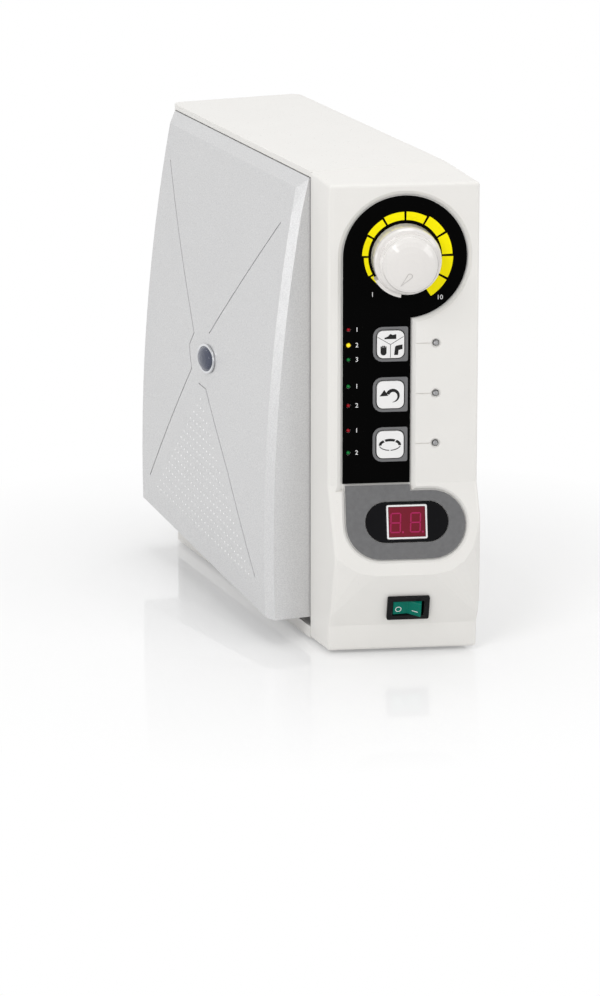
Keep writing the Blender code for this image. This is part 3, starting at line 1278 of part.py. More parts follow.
def knee_plunger():
    axis = empty("plunger_axis", UNIT, (0, PLUNGER_Y, PLUNGER_HEIGHT))
    head = panel_x(PLUNGER_HEIGHT) + PANEL_WALL + GAP * 1.5
    tip = PLUNGER_HEAD_RADIUS / 4
    profile = [
        (0, -head),
        (PLUNGER_HEAD_RADIUS / 2, -head - tip / 4),
        (PLUNGER_HEAD_RADIUS, -head - tip),
        (PLUNGER_HEAD_RADIUS, -head - PLUNGER_HEAD_LENGTH),
        (PLUNGER_RADIUS, -head - PLUNGER_HEAD_LENGTH),
        (PLUNGER_RADIUS, -PLUNGER_END_X),
        (0, -PLUNGER_END_X),
    ]
    turned("knee_plunger", profile, turn=TO_LEFT, frame=axis, look="black_plastic", steps=20)
    flange = INNER_WALL_X - GAP
    guide = [
        (PLUNGER_RADIUS + GAP, -flange + GUIDE_FLANGE),
        (GUIDE_FLANGE_RADIUS, -flange + GUIDE_FLANGE),
        (GUIDE_FLANGE_RADIUS, -flange),
        (GUIDE_RADIUS, -flange),
        (GUIDE_RADIUS, -GUIDE_END_X),
        (PLUNGER_RADIUS + GAP, -GUIDE_END_X),
        (PLUNGER_RADIUS + GAP, -flange + GUIDE_FLANGE),
    ]
    place = (0, PLUNGER_Y, PLUNGER_HEIGHT)
    turned("plunger_guide", guide, place, TO_LEFT, UNIT, "white_plastic", 24)
    depth, width, height = SENSOR_SIZE
    low = (SENSOR_X, PLUNGER_Y - width / 2, PLUNGER_HEIGHT - height / 2)
    high = (SENSOR_X + depth, PLUNGER_Y + width / 2, PLUNGER_HEIGHT + height / 2)
    block("knee_sensor", low, high, look="black_plastic")


# Inside the case


def transformer():
    x, y = TRANSFORMER_CENTRE
    floor = CASE_BOTTOM + BASE_THICKNESS + GAP
    width, depth, height = TRANSFORMER_CORE
    core_low = (x - width / 2, y - depth / 2, floor)
    core = block("transformer", core_low, (x + width / 2, y + depth / 2, floor + height), look="steel")
    coil_width, coil_depth, coil_height = TRANSFORMER_COIL
    low = floor + (height - coil_height) / 2
    coil_low = (x - coil_width / 2, y - coil_depth / 2, low)
    coil_high = (x + coil_width / 2, y + coil_depth / 2, low + coil_height)
    fuse(core, bevel(block("transformer_coil", coil_low, coil_high), COIL_EDGE, 2))


def main_board():
    low = (MAIN_BOARD_X, MAIN_BOARD_FRONT, MAIN_BOARD_BOTTOM)
    rear, top = CASE_DEPTH - MAIN_BOARD_REAR_GAP, CASE_TOP - MAIN_BOARD_TOP_GAP
    high = (MAIN_BOARD_X + BOARD_THICKNESS, rear, top)
    board = block("main_board", low, high, look="board")
    for i, (y, z) in enumerate(CAPACITOR_PLACES):
        start = (MAIN_BOARD_X + BOARD_THICKNESS / 2, y, z + TRANSFORMER_CORE[2])
        end = (MAIN_BOARD_X - CAPACITOR_LENGTH, y, z + TRANSFORMER_CORE[2])
        fuse(board, rod(f"capacitor_{i + 1}", CAPACITOR_RADIUS, start, end, sides=16))


def heat_sink():
    """A finned extrusion inside the back, with its fins pointing forwards."""
    left, right = HEAT_SINK_X
    rear = CASE_DEPTH - HEAT_SINK_REAR_GAP
    front = rear - HEAT_SINK_DEPTH
    pitch = (right - left - HEAT_SINK_FIN) / (HEAT_SINK_FINS - 1)
    outline = [(right, rear), (left, rear)]
    for i in range(HEAT_SINK_FINS):
        x = left + i * pitch
        outline += [(x, front), (x + HEAT_SINK_FIN, front)]
        if i < HEAT_SINK_FINS - 1:
            outline += [(x + HEAT_SINK_FIN, rear - HEAT_SINK_BASE), (x + pitch, rear - HEAT_SINK_BASE)]
    flat_solid("heat_sink", [outline], *HEAT_SINK_Z, look="aluminium")


def centre_on_footprint():
    """Moves the unit so that the middle of its bounding box, at the table, is the origin."""
    bpy.context.view_layer.update()
    graph = bpy.context.evaluated_depsgraph_get()
    xs, ys = [], []
    for obj in PARTS.objects:
        if obj.type == "EMPTY":
            continue
        evaluated = obj.evaluated_get(graph)
        mesh = evaluated.to_mesh()
        for vert in mesh.vertices:
            point = obj.matrix_world @ vert.co
            xs.append(point.x)
            ys.append(point.y)
        evaluated.to_mesh_clear()
    UNIT.location = (-(min(xs) + max(xs)) / 2, -(min(ys) + max(ys)) / 2, 0)
    bpy.context.view_layer.update()


# The knee panel's own pieces hang on an empty at its hinge, which lies on the joint's axis.
KNEE_AXIS = empty("knee_axis", UNIT, (HINGE_X, 0, HINGE_HEIGHT))
KNEE_AXIS_HOME = empty("knee_home", KNEE_AXIS, (-HINGE_X, 0, -HINGE_HEIGHT))


def main():
    front_bezel()
    overlay()
    display()
    knob()
    keys()
    lamps()
    control_board()
    power_switch()
    main_housing()
    base_tray()
    feet()
    rear_panel()
    mains_inlet()
    round_socket("motor_socket", MOTOR_SOCKET_HEIGHT, MOTOR_SOCKET_RADIUS, 4)
    round_socket("foot_socket", FOOT_SOCKET_HEIGHT, FOOT_SOCKET_RADIUS, 3)
    knee_panel()
    knee_badge()
    knee_hinge()
    knee_spring()
    inner_wall()
    knee_plunger()
    transformer()
    main_board()
    heat_sink()
    centre_on_footprint()


main()
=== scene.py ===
"""Looks of the dental micromotor control unit: finishes, printed marks, raised dots, screws, light, camera.

Lengths are metres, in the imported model's own frame. Marks are drawn on the face that carries them: u runs
across the face to the right, v up it, and each point is dropped on the piece below.
"""

import json
import math

import bmesh
import bpy
from mathutils import Matrix, Vector


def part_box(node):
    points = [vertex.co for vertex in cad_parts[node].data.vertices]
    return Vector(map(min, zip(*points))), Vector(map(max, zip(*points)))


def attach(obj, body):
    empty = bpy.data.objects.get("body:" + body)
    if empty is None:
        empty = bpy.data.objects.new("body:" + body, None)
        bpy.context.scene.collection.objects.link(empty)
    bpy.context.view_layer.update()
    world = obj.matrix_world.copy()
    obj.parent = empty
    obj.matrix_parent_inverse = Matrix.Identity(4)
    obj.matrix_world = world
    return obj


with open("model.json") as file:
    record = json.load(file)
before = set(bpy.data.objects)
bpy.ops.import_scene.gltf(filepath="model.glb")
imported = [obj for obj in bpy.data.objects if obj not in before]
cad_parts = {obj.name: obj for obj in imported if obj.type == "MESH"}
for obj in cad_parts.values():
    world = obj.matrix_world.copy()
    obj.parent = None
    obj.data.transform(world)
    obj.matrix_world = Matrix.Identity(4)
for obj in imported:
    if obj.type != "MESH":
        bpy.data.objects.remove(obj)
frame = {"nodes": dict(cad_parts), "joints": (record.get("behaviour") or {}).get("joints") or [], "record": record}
NODES = frame["nodes"]
JOINTS = {joint["name"]: joint for joint in frame["joints"]}
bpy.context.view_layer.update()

MM = 0.001
ORIGIN = (0, 0)
UP = Vector((0, 0, 1))
FORWARD = Vector((0, -1, 0))

# A mark stands proud of the piece below by INK, and reaches into it by SINK.
INK = 0.06 * MM
SINK = 0.05 * MM


# Faces that carry marks


# Points are dropped on a face from this far in front of it.
REACH = 60 * MM
# A face looks out of the front if its normal's cosine to the way out of the front is at least this.
FRONT_COSINE = 0.8
# Faces whose normals agree to this many decimals count as one flat face.
NORMAL_DECIMALS = 2


def vector(values):
    return Vector([float(value) for value in values])


KNOB_CENTRE = vector(JOINTS["knob_turn"]["pos_m"])
INWARD = vector(JOINTS["knob_turn"]["axis"]).normalized()
ACROSS = INWARD.cross(UP).normalized()


class Face:
    """A flat drawing board in front of one node: u to the right, v up, and out towards the viewer."""

    def __init__(self, node, origin, right, up):
        self.node = NODES[node]
        self.origin = origin
        self.right = right.normalized()
        self.out = self.right.cross(up).normalized()
        self.up = self.out.cross(self.right).normalized()

    def point(self, u, v):
        return self.origin + self.right * u + self.up * v

    def drop(self, u, v):
        """The point and normal of the node below (u, v)."""
        start = self.point(u, v) + self.out * REACH
        found, place, normal, _ = self.node.ray_cast(start, -self.out)
        if not found:
            return self.point(u, v), self.out
        return place, normal


def front_face(node):
    """The largest flat face of a node that looks out of the front, as (centre, normal)."""
    groups = {}
    for polygon in NODES[node].data.polygons:
        if polygon.normal.dot(-INWARD) < FRONT_COSINE:
            continue
        key = tuple(round(value, NORMAL_DECIMALS) for value in polygon.normal)
        area, total = groups.get(key, (0.0, Vector()))
        groups[key] = (area + polygon.area, total + polygon.center * polygon.area)
    key = max(groups, key=lambda k: groups[k][0])
    area, total = groups[key]
    return total / area, Vector(key).normalized()


def board_on(node):
    """A board on the front face of a node, centred on the middle of the node's box."""
    centre, normal = front_face(node)
    low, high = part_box(node)
    middle = (low + high) / 2
    centre = middle - normal * (middle - centre).dot(normal)
    return Face(node, centre, ACROSS, normal.cross(ACROSS))


# Material nodes


# Most of a noise texture lies between these two values.
NOISE_ENDS = (0.25, 0.75)
COARSE_DETAIL = 3.0
FINE_DETAIL = 2.0


def new_material(name):
    material = bpy.data.materials.new(name)
    material.use_nodes = True
    tree = material.node_tree
    return material, tree, tree.nodes["Principled BSDF"]


def set_inputs(node, values):
    for name, value in values.items():
        node.inputs[name].default_value = value


def object_place(tree):
    return tree.nodes.new("ShaderNodeTexCoord").outputs["Object"]


def noise(tree, scale, detail=COARSE_DETAIL, stretch=(1, 1, 1)):
    mapping = tree.nodes.new("ShaderNodeMapping")
    set_inputs(mapping, {"Scale": stretch})
    tree.links.new(object_place(tree), mapping.inputs["Vector"])
    texture = tree.nodes.new("ShaderNodeTexNoise")
    set_inputs(texture, {"Scale": scale, "Detail": detail})
    tree.links.new(mapping.outputs["Vector"], texture.inputs["Vector"])
    return texture.outputs["Fac"]


def remap(tree, source, low, high, ends=NOISE_ENDS):
    """Turns the values between the two ends into values from low to high."""
    node = tree.nodes.new("ShaderNodeMapRange")
    set_inputs(node, {"From Min": ends[0], "From Max": ends[1], "To Min": low, "To Max": high})
    tree.links.new(source, node.inputs["Value"])
    return node.outputs["Result"]


def calculate(tree, operation, first, second):
    node = tree.nodes.new("ShaderNodeMath")
    node.operation = operation
    tree.links.new(first, node.inputs[0])
    tree.links.new(second, node.inputs[1])
    return node.outputs["Value"]


def seen_by(tree, *rays):
    """1 where one of these rays looks, and 0 for the light that falls on the object."""
    path = tree.nodes.new("ShaderNodeLightPath")
    seen = path.outputs[rays[0]]
    for ray in rays[1:]:
        seen = calculate(tree, "MAXIMUM", seen, path.outputs[ray])
    return seen


def blend_colours(tree, factor, first, second):
    """A mix of two colours; the second may be the output of another node."""
    node = tree.nodes.new("ShaderNodeMix")
    node.data_type = "RGBA"
    node.inputs["A"].default_value = (*first, 1)
    if isinstance(second, bpy.types.NodeSocket):
        tree.links.new(second, node.inputs["B"])
    else:
        node.inputs["B"].default_value = (*second, 1)
    tree.links.new(factor, node.inputs["Factor"])
    return node.outputs["Result"]


def bump(tree, shader, source, distance, strength=0.3):
    node = tree.nodes.new("ShaderNodeBump")
    set_inputs(node, {"Strength": strength, "Distance": distance})
    tree.links.new(source, node.inputs["Height"])
    tree.links.new(node.outputs["Normal"], shader.inputs["Normal"])


# Finishes


# Silver paint: the scales of its flakes, clouds and grain, and its colours from dark to light.
SILVER_FLAKES = 1500.0
SILVER_FLAKE_DETAIL = 1.0
SILVER_CLOUDS = 14.0
SILVER_GRAIN = 1800.0
SILVER_DARK = (0.57, 0.57, 0.575)
SILVER_MIDDLE = (0.67, 0.67, 0.672)
SILVER_LIGHT = (0.70, 0.70, 0.70)
SILVER_ROUGH = 0.42
SILVER_SMOOTH = 0.30

# The iron core's stacked sheets.
SHEET_SCALE = 500.0
SHEET_DARK = (0.12, 0.12, 0.125)
SHEET_LIGHT = (0.34, 0.34, 0.35)

# The cells that stand for a circuit board's tracks.
TRACK_SCALE = 260.0
BOARD_DARK = (0.02, 0.15, 0.06)
BOARD_LIGHT = (0.03, 0.22, 0.09)


def surface(
    name, colour, roughness, metallic=0.0, spread=0.06, grain=900.0, relief=0.02 * MM, variation=0.03,
    stretch=(1, 1, 1), coat=0.0, specular=0.5, patch=45.0, strength=0.3,
):
    """Colour clouds, fine grain in relief and an uneven sheen: the base of every finish."""
    material, tree, shader = new_material(name)
    clouds = remap(tree, noise(tree, patch, stretch=stretch), 0, 1)
    darker = tuple(value * (1 - variation) for value in colour)
    tree.links.new(blend_colours(tree, clouds, darker, colour), shader.inputs["Base Color"])
    fine = noise(tree, grain, FINE_DETAIL, stretch)
    tree.links.new(remap(tree, fine, roughness - spread, roughness + spread), shader.inputs["Roughness"])
    bump(tree, shader, fine, relief, strength)
    set_inputs(shader, {"Metallic": metallic, "Coat Weight": coat, "Specular IOR Level": specular})
    return material


def silver_paint():
    """Metallic paint: light and dark flakes with a satin sheen."""
    material, tree, shader = new_material("silver_paint")
    flakes = remap(tree, noise(tree, SILVER_FLAKES, SILVER_FLAKE_DETAIL), 0, 1)
    clouds = remap(tree, noise(tree, SILVER_CLOUDS), 0, 1)
    light = blend_colours(tree, clouds, SILVER_MIDDLE, SILVER_LIGHT)
    tree.links.new(blend_colours(tree, flakes, SILVER_DARK, light), shader.inputs["Base Color"])
    tree.links.new(remap(tree, flakes, SILVER_ROUGH, SILVER_SMOOTH), shader.inputs["Roughness"])
    bump(tree, shader, noise(tree, SILVER_GRAIN, FINE_DETAIL), distance=0.02 * MM, strength=0.25)
    set_inputs(shader, {"Metallic": 0.45})
    return material


def add_glow(material, colour, strength):
    """A faint light of a finish's own; returns its shader."""
    shader = material.node_tree.nodes["Principled BSDF"]
    set_inputs(shader, {"Emission Color": (*colour, 1), "Emission Strength": strength})
    return shader


def lamp_lens(name, colour, glow=0.0):
    """A coloured lens with fine clouds; the glow is for a lamp that is lit."""
    material = surface(
        name, colour, 0.22, grain=2500.0, relief=0.01 * MM, variation=0.2, patch=700.0, specular=0.25,
    )
    add_glow(material, colour, glow)
    return material


def green_plastic():
    """The rocker's plastic: some light spreads inside it, and it glows faintly."""
    material = surface(
        "rocker_green", (0.002, 0.12, 0.085), 0.3, grain=1500.0, variation=0.25, patch=160.0, specular=0.08,
    )
    shader = add_glow(material, (0.0, 0.16, 0.11), 0.3)
    set_inputs(shader, {"Subsurface Weight": 0.3, "Subsurface Radius": (0.5 * MM, 2 * MM, 1.5 * MM)})
    return material


def laminated_steel():
    """Stacked sheets: fine dark lines across the iron core."""
    material, tree, shader = new_material("transformer_iron")
    wave = tree.nodes.new("ShaderNodeTexWave")
    wave.bands_direction = "Y"
    set_inputs(wave, {"Scale": SHEET_SCALE, "Distortion": 0.3})
    tree.links.new(object_place(tree), wave.inputs["Vector"])
    lines = wave.outputs["Fac"]
    tree.links.new(blend_colours(tree, lines, SHEET_DARK, SHEET_LIGHT), shader.inputs["Base Color"])
    bump(tree, shader, lines, distance=0.05 * MM)
    set_inputs(shader, {"Metallic": 0.8, "Roughness": 0.5})
    return material


def circuit_board():
    """Green lacquer over angular cells, darker where they meet."""
    material, tree, shader = new_material("circuit_board")
    cells = tree.nodes.new("ShaderNodeTexVoronoi")
    cells.distance = "MANHATTAN"
    cells.feature = "DISTANCE_TO_EDGE"
    set_inputs(cells, {"Scale": TRACK_SCALE})
    tree.links.new(object_place(tree), cells.inputs["Vector"])
    edges = cells.outputs["Distance"]
    tracks = remap(tree, edges, 0, 1)
    tree.links.new(blend_colours(tree, tracks, BOARD_DARK, BOARD_LIGHT), shader.inputs["Base Color"])
    bump(tree, shader, edges, distance=0.03 * MM)
    set_inputs(shader, {"Roughness": 0.35})
    return material


LOOKS = {
    "white": surface(
        "white_abs", (0.80, 0.785, 0.755), 0.30, spread=0.03, relief=0.004 * MM, variation=0.02,
        strength=0.06,
    ),
    "knob": surface(
        "knob_white", (0.76, 0.735, 0.71), 0.14, relief=0.002 * MM, variation=0.02, coat=0.5, strength=0.05,
    ),
    # The pointer line's grey is painted shade on the knob's white plastic, so that the raised outline shows.
    "pointer": surface("pointer_painted_shade", (0.50, 0.48, 0.46), 0.3, relief=0.002 * MM),
    "key": surface("key_white", (0.83, 0.825, 0.82), 0.38, relief=0.01 * MM, variation=0.02, strength=0.1),
    "silver": silver_paint(),
    # Much lighter than the panel's silver: the dots' glints are painted into their colour, so that they show as
    # bright points.
    "dots": surface("dot_painted_glint", (0.88, 0.88, 0.88), 0.25, relief=0.002 * MM),
    "badge": surface(
        "badge_enamel", (0.10, 0.11, 0.15), 0.12, metallic=0.8, spread=0.04, grain=500.0, relief=0.004 * MM,
        variation=0.3, specular=0.4,
    ),
    "chrome": surface(
        "chrome", (0.72, 0.73, 0.75), 0.08, metallic=1.0, spread=0.03, grain=500.0, relief=0.004 * MM,
        variation=0.1,
    ),
    "steel": surface(
        "plated_steel", (0.52, 0.52, 0.54), 0.30, metallic=1.0, spread=0.1, grain=700.0, relief=0.01 * MM,
        variation=0.15, stretch=(1, 1, 12),
    ),
    "aluminium": surface(
        "aluminium", (0.62, 0.62, 0.64), 0.36, metallic=1.0, spread=0.08, grain=600.0, relief=0.01 * MM,
        variation=0.12, stretch=(1, 14, 1),
    ),
    "overlay": surface(
        "black_film", (0.001, 0.001, 0.001), 0.4, relief=0.003 * MM, variation=0.3, specular=0.02,
    ),
    "display": surface(
        "display_black", (0.004, 0.004, 0.005), 0.35, relief=0.005 * MM, variation=0.3, specular=0.08,
    ),
    "black": surface(
        "black_plastic", (0.008, 0.008, 0.009), 0.42, relief=0.03 * MM, variation=0.3, specular=0.12,
    ),
    "grey": surface(
        "grey_plastic", (0.145, 0.145, 0.148), 0.42, relief=0.03 * MM, variation=0.2, patch=400.0,
    ),
    "surround": surface("key_surround", (0.15, 0.15, 0.155), 0.45, relief=0.03 * MM, variation=0.1),
    "window": surface(
        "red_window", (0.17, 0.006, 0.020), 0.2, relief=0.004 * MM, variation=0.1, specular=0.2,
    ),
    "digits": surface("digit_red", (0.40, 0.016, 0.10), 0.4, variation=0.15, specular=0.2, patch=500.0),
    "rocker": green_plastic(),
    "red_lamp": lamp_lens("red_lamp", (0.34, 0.004, 0.012)),
    "yellow_lamp": lamp_lens("yellow_lamp", (0.95, 0.74, 0.02), glow=0.5),
    "green_lamp": lamp_lens("green_lamp", (0.004, 0.20, 0.04)),
    "clear_lamp": surface(
        "clear_lens", (0.42, 0.42, 0.43), 0.12, metallic=0.3, variation=0.5, coat=0.8, patch=900.0,
    ),
    "rubber": surface("rubber", (0.03, 0.03, 0.03), 0.75, relief=0.05 * MM, variation=0.3),
    "board": circuit_board(),
    "iron": laminated_steel(),
    "yellow": surface("scale_yellow", (1.0, 0.88, 0.0), 0.5, specular=0.1),
    "ink": surface("white_ink", (0.86, 0.86, 0.86), 0.5, variation=0.05, specular=0.2),
    "dark_ink": surface("black_ink", (0.012, 0.012, 0.012), 0.5, variation=0.2, specular=0.2),
}

# A node has its own look, or its slot's. A slot that isn't listed has the look of the same name.
NODE_LOOKS = {
    "knob_skirt": "knob", "knob_cap": "knob", "mode_key": "key", "direction_key": "key", "cruise_key": "key",
    "display_surround": "display", "display_frame": "ink", "transformer": "iron",
    "mode_surround": "surround", "direction_surround": "surround", "cruise_surround": "surround",
}
SLOT_LOOKS = {
    "white_plastic": "white", "silver_paint": "silver", "overlay_film": "overlay", "black_plastic": "black",
    "grey_plastic": "grey", "red_window": "window", "green_rocker": "rocker",
}


def finish_nodes():
    for part in frame["record"]["subparts"]:
        slot = part["material_slot"]
        look = NODE_LOOKS.get(part["node"], SLOT_LOOKS.get(slot, slot))
        mesh = NODES[part["node"]].data
        mesh.materials.clear()
        mesh.materials.append(LOOKS[look])


# Building pieces


ARC_STEPS = 8
RING_SIDES = 24


def new_piece(name, bm, body, look, smooth_angle=None):
    """Makes a piece of a finished bmesh; edges sharper than the angle stay sharp."""
    bmesh.ops.recalc_face_normals(bm, faces=bm.faces)
    mesh = bpy.data.meshes.new(name)
    bm.to_mesh(mesh)
    bm.free()
    piece = bpy.data.objects.new(name, mesh)
    bpy.context.scene.collection.objects.link(piece)
    mesh.materials.append(LOOKS[look])
    if smooth_angle:
        mesh.shade_smooth()
        mesh.set_sharp_from_angle(angle=smooth_angle)
    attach(piece, body)


def wall(bm, low, high):
    """The faces between two closed loops of vertices."""
    for i in range(len(low)):
        j = (i + 1) % len(low)
        bm.faces.new((low[i], low[j], high[j], high[i]))


def layers(bm, face, points, thickness):
    """Two vertices for each point of a face: one just inside the piece below, one proud of it."""
    low, high = [], []
    for u, v in points:
        place, normal = face.drop(u, v)
        low.append(bm.verts.new(place - normal * SINK))
        high.append(bm.verts.new(place + normal * thickness))
    return low, high


def add_patch(bm, face, points, thickness=INK):
    """A printed patch with the given outline."""
    low, high = layers(bm, face, points, thickness)
    bm.faces.new(high)
    bm.faces.new(low[::-1])
    wall(bm, low, high)


def add_band(bm, face, first, second, closed=False, thickness=INK):
    """A printed band between two lines with as many points each."""
    low_a, high_a = layers(bm, face, first, thickness)
    low_b, high_b = layers(bm, face, second, thickness)
    count = len(first)
    for i in range(count if closed else count - 1):
        j = (i + 1) % count
        bm.faces.new((high_a[i], high_a[j], high_b[j], high_b[i]))
        bm.faces.new((low_a[j], low_a[i], low_b[i], low_b[j]))
        bm.faces.new((low_a[i], low_a[j], high_a[j], high_a[i]))
        bm.faces.new((low_b[j], low_b[i], high_b[i], high_b[j]))
    if not closed:
        bm.faces.new((low_a[0], high_a[0], high_b[0], low_b[0]))
        bm.faces.new((low_b[-1], high_b[-1], high_a[-1], low_a[-1]))


def stroke(bm, face, start, end, width):
    """A printed straight line."""
    along = Vector((end[0] - start[0], end[1] - start[1])).normalized()
    side = Vector((-along.y, along.x)) * width / 2
    corners = [Vector(start) - side, Vector(end) - side, Vector(end) + side, Vector(start) + side]
    add_patch(bm, face, [tuple(corner) for corner in corners])


def in_mm(points):
    return [(u * MM, v * MM) for u, v in points]


def polar(centre, radius, degrees):
    angle = math.radians(degrees)
    return centre[0] + radius * math.cos(angle), centre[1] + radius * math.sin(angle)


def sweep(centre, radius, start, end, steps=ARC_STEPS, squash=1.0):
    """Points on an arc from start to end degrees; squash flattens it into an ellipse."""
    points = []
    for i in range(steps + 1):
        u, v = polar(ORIGIN, radius, start + (end - start) * i / steps)
        points.append((centre[0] + u, centre[1] + v * squash))
    return points


def ring_points(centre, radius, sides=RING_SIDES, squash=1.0):
    """The corners of a closed ring."""
    return sweep(centre, radius, 0, 360 - 360 / sides, sides - 1, squash)


def raised_loop(bm, place, normal, points, rise):
    """Vertices for a flat outline that is centred on a place of a surface and lifted off it."""
    right = normal.cross(UP).normalized()
    up = right.cross(normal).normalized()
    return [bm.verts.new(place + right * u + up * v + normal * rise) for u, v in points]


def raised_rings(bm, place, normal, radius, sides, profile):
    """The side and base of a small round head; returns its top ring.

    Each row of the profile has a share of the radius, and a height.
    """
    rings = []
    for share, rise in profile:
        rings.append(raised_loop(bm, place, normal, ring_points(ORIGIN, radius * share, sides), rise))
    for low, high in zip(rings, rings[1:]):
        wall(bm, low, high)
    bm.faces.new(rings[0][::-1])
    return rings[-1]


# Marks on the control overlay


OVERLAY = Face("control_overlay", KNOB_CENTRE, ACROSS, UP)

# Angles are degrees, counted from the right and against the clock.
SCALE_START = 239.0
SCALE_STEP = -29.8
SCALE_GAP = 3.0
SCALE_CENTRE = (0, 0.35 * MM)
SCALE_INNER = 19.8 * MM
SCALE_WIDTHS = [width * MM for width in (1.6, 2.3, 3.3, 3.9, 4.4, 4.5, 5.3, 5.6, 6.0, 6.1)]
SCALE_POINT = 0.5 * MM

NUMBER_HEIGHT = 2.5 * MM
# The font's size for digits of height 1.
FONT_SIZE = 1.4
WELD = 0.001 * MM

LOW_NUMBER_RADIUS = 26.6 * MM
LOW_NUMBER_TURN = -10
HIGH_NUMBER_RADIUS = 29.2 * MM
HIGH_NUMBER_TURN = 9

LAMP_NUMBERS = {1: "1", 2: "2", 3: "3", 4: "1", 5: "2", 6: "1", 7: "2"}
LAMP_NUMBER_OFFSET = 4.4 * MM


def dial_scale():
    """Ten yellow blocks round the knob, each wider than the last; the first grows out of a point."""
    bm = bmesh.new()
    for i, width in enumerate(SCALE_WIDTHS):
        start = SCALE_START + SCALE_STEP * i - SCALE_GAP / 2
        end = start + SCALE_STEP + SCALE_GAP
        first = SCALE_POINT if i == 0 else width
        inner = sweep(SCALE_CENTRE, SCALE_INNER, start, end)
        outer = []
        for j in range(ARC_STEPS + 1):
            share = j / ARC_STEPS
            reach = first + (width - first) * share
            outer.append(polar(SCALE_CENTRE, SCALE_INNER + reach, start + (end - start) * share))
        add_band(bm, OVERLAY, inner, outer)
    new_piece("dial_scale", bm, "case", "yellow")


def overlay_number(name, text, centre):
    """Plain digits printed on the overlay, centred on a point."""
    curve = bpy.data.curves.new(name, "FONT")
    curve.body = text
    curve.size = NUMBER_HEIGHT * FONT_SIZE
    curve.align_x = "CENTER"
    curve.align_y = "CENTER"
    curve.extrude = (INK + SINK) / 2
    holder = bpy.data.objects.new(f"{name}_curve", curve)
    bpy.context.scene.collection.objects.link(holder)
    bpy.context.view_layer.update()
    graph = bpy.context.evaluated_depsgraph_get()
    mesh = bpy.data.meshes.new_from_object(holder.evaluated_get(graph))
    bpy.data.objects.remove(holder)
    place, normal = OVERLAY.drop(*centre)
    middle = place + normal * (INK - SINK) / 2
    turn = Matrix((OVERLAY.right, OVERLAY.up, OVERLAY.out)).transposed().to_4x4()
    mesh.transform(Matrix.Translation(middle) @ turn)
    bm = bmesh.new()
    bm.from_mesh(mesh)
    bmesh.ops.remove_doubles(bm, verts=bm.verts, dist=WELD)
    bpy.data.meshes.remove(mesh)
    new_piece(name, bm, "case", "ink")


def dial_numbers():
    """A plain number at each end of the scale."""
    low, high = SCALE_START, SCALE_START + SCALE_STEP * len(SCALE_WIDTHS)
    overlay_number("dial_number_low", "1", polar(ORIGIN, LOW_NUMBER_RADIUS, low + LOW_NUMBER_TURN))
    overlay_number("dial_number_high", "10", polar(ORIGIN, HIGH_NUMBER_RADIUS, high + HIGH_NUMBER_TURN))


def lamp_place(node):
    low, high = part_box(node)
    middle = (low + high) / 2 - KNOB_CENTRE
    return middle.dot(ACROSS), middle.z


def lamp_numbers():
    """A plain number beside each status lamp."""
    for lamp, number in LAMP_NUMBERS.items():
        u, v = lamp_place(f"status_lamp_{lamp}")
        overlay_number(f"lamp_number_{lamp}", number, (u + LAMP_NUMBER_OFFSET, v))


# Signs on the keys


FIELD_LINE = 0.25 * MM
FIELD_REACH = 8.2 * MM
FIELD_ANGLES = (149, 31)
FIELD_DROP = 7.2 * MM

# The pedal, the hand and the knee are in millimetres from the middle of the key.
PEDAL = [(-3.3, 3.0), (3.1, 3.0), (3.1, 5.6), (1.2, 5.2), (-0.1, 5.8), (-1.3, 4.5), (-3.2, 3.7)]
KNEE = [(2.0, -5.8), (4.1, -5.8), (4.4, -3.1), (6.5, -2.6), (6.5, -0.1), (3.2, -0.7), (2.5, -1.3)]
PALM_CENTRE = (-3.7, -4.3)
PALM_RADIUS = 1.6
PALM_TOP = -1.8
FINGER_START = -4.95
FINGER_PITCH = 0.83
FINGER_ROOT = -1.9
FINGER_TIPS = (-1.0, -0.6, -0.6, -1.0)
FINGER_WIDTH = 0.68 * MM

# The arrow runs from its head, where it is widest, with the clock to its thin tail.
ARROW_CENTRE = (1.4 * MM, -0.4 * MM)
ARROW_RADIUS = 3.75 * MM
ARROW_START = 164
ARROW_TURN = -256
ARROW_WIDTH = 1.85 * MM
ARROW_TAPER = 1.65 * MM
ARROW_TAPER_POWER = 2.4
ARROW_STEPS = 24
ARROW_HEAD = [(-5.7, -0.7), (-1.0, -0.5), (-3.2, 2.8)]

# Half of the ring's width and height. Each stroke has its two angles, and its width in millimetres.
CRUISE_WIDE = 6.0 * MM
CRUISE_HIGH = 3.3 * MM
CRUISE_STROKES = (
    (120, 60, 1.4), (52, -8, 1.5), (-16, -86, 0.45), (-94, -164, 0.45), (188, 128, 1.5),
)


def mode_sign():
    """Three fields for three ways of control: a pedal, a hand and a bent knee."""
    face = board_on("mode_key")
    bm = bmesh.new()
    ends = [polar(ORIGIN, FIELD_REACH, angle) for angle in FIELD_ANGLES]
    for end in ends + [(0, -FIELD_DROP)]:
        stroke(bm, face, ORIGIN, end, FIELD_LINE)
    for outline in (PEDAL, KNEE):
        add_patch(bm, face, in_mm(outline))
    palm = sweep(PALM_CENTRE, PALM_RADIUS, 180, 360)
    palm += [(PALM_CENTRE[0] + side * PALM_RADIUS, PALM_TOP) for side in (1, -1)]
    add_patch(bm, face, in_mm(palm))
    for i, tip in enumerate(FINGER_TIPS):
        u = FINGER_START + FINGER_PITCH * i
        root, end = in_mm([(u, FINGER_ROOT), (u, tip)])
        stroke(bm, face, root, end, FINGER_WIDTH)
    new_piece("mode_sign", bm, "mode_key_body", "dark_ink")


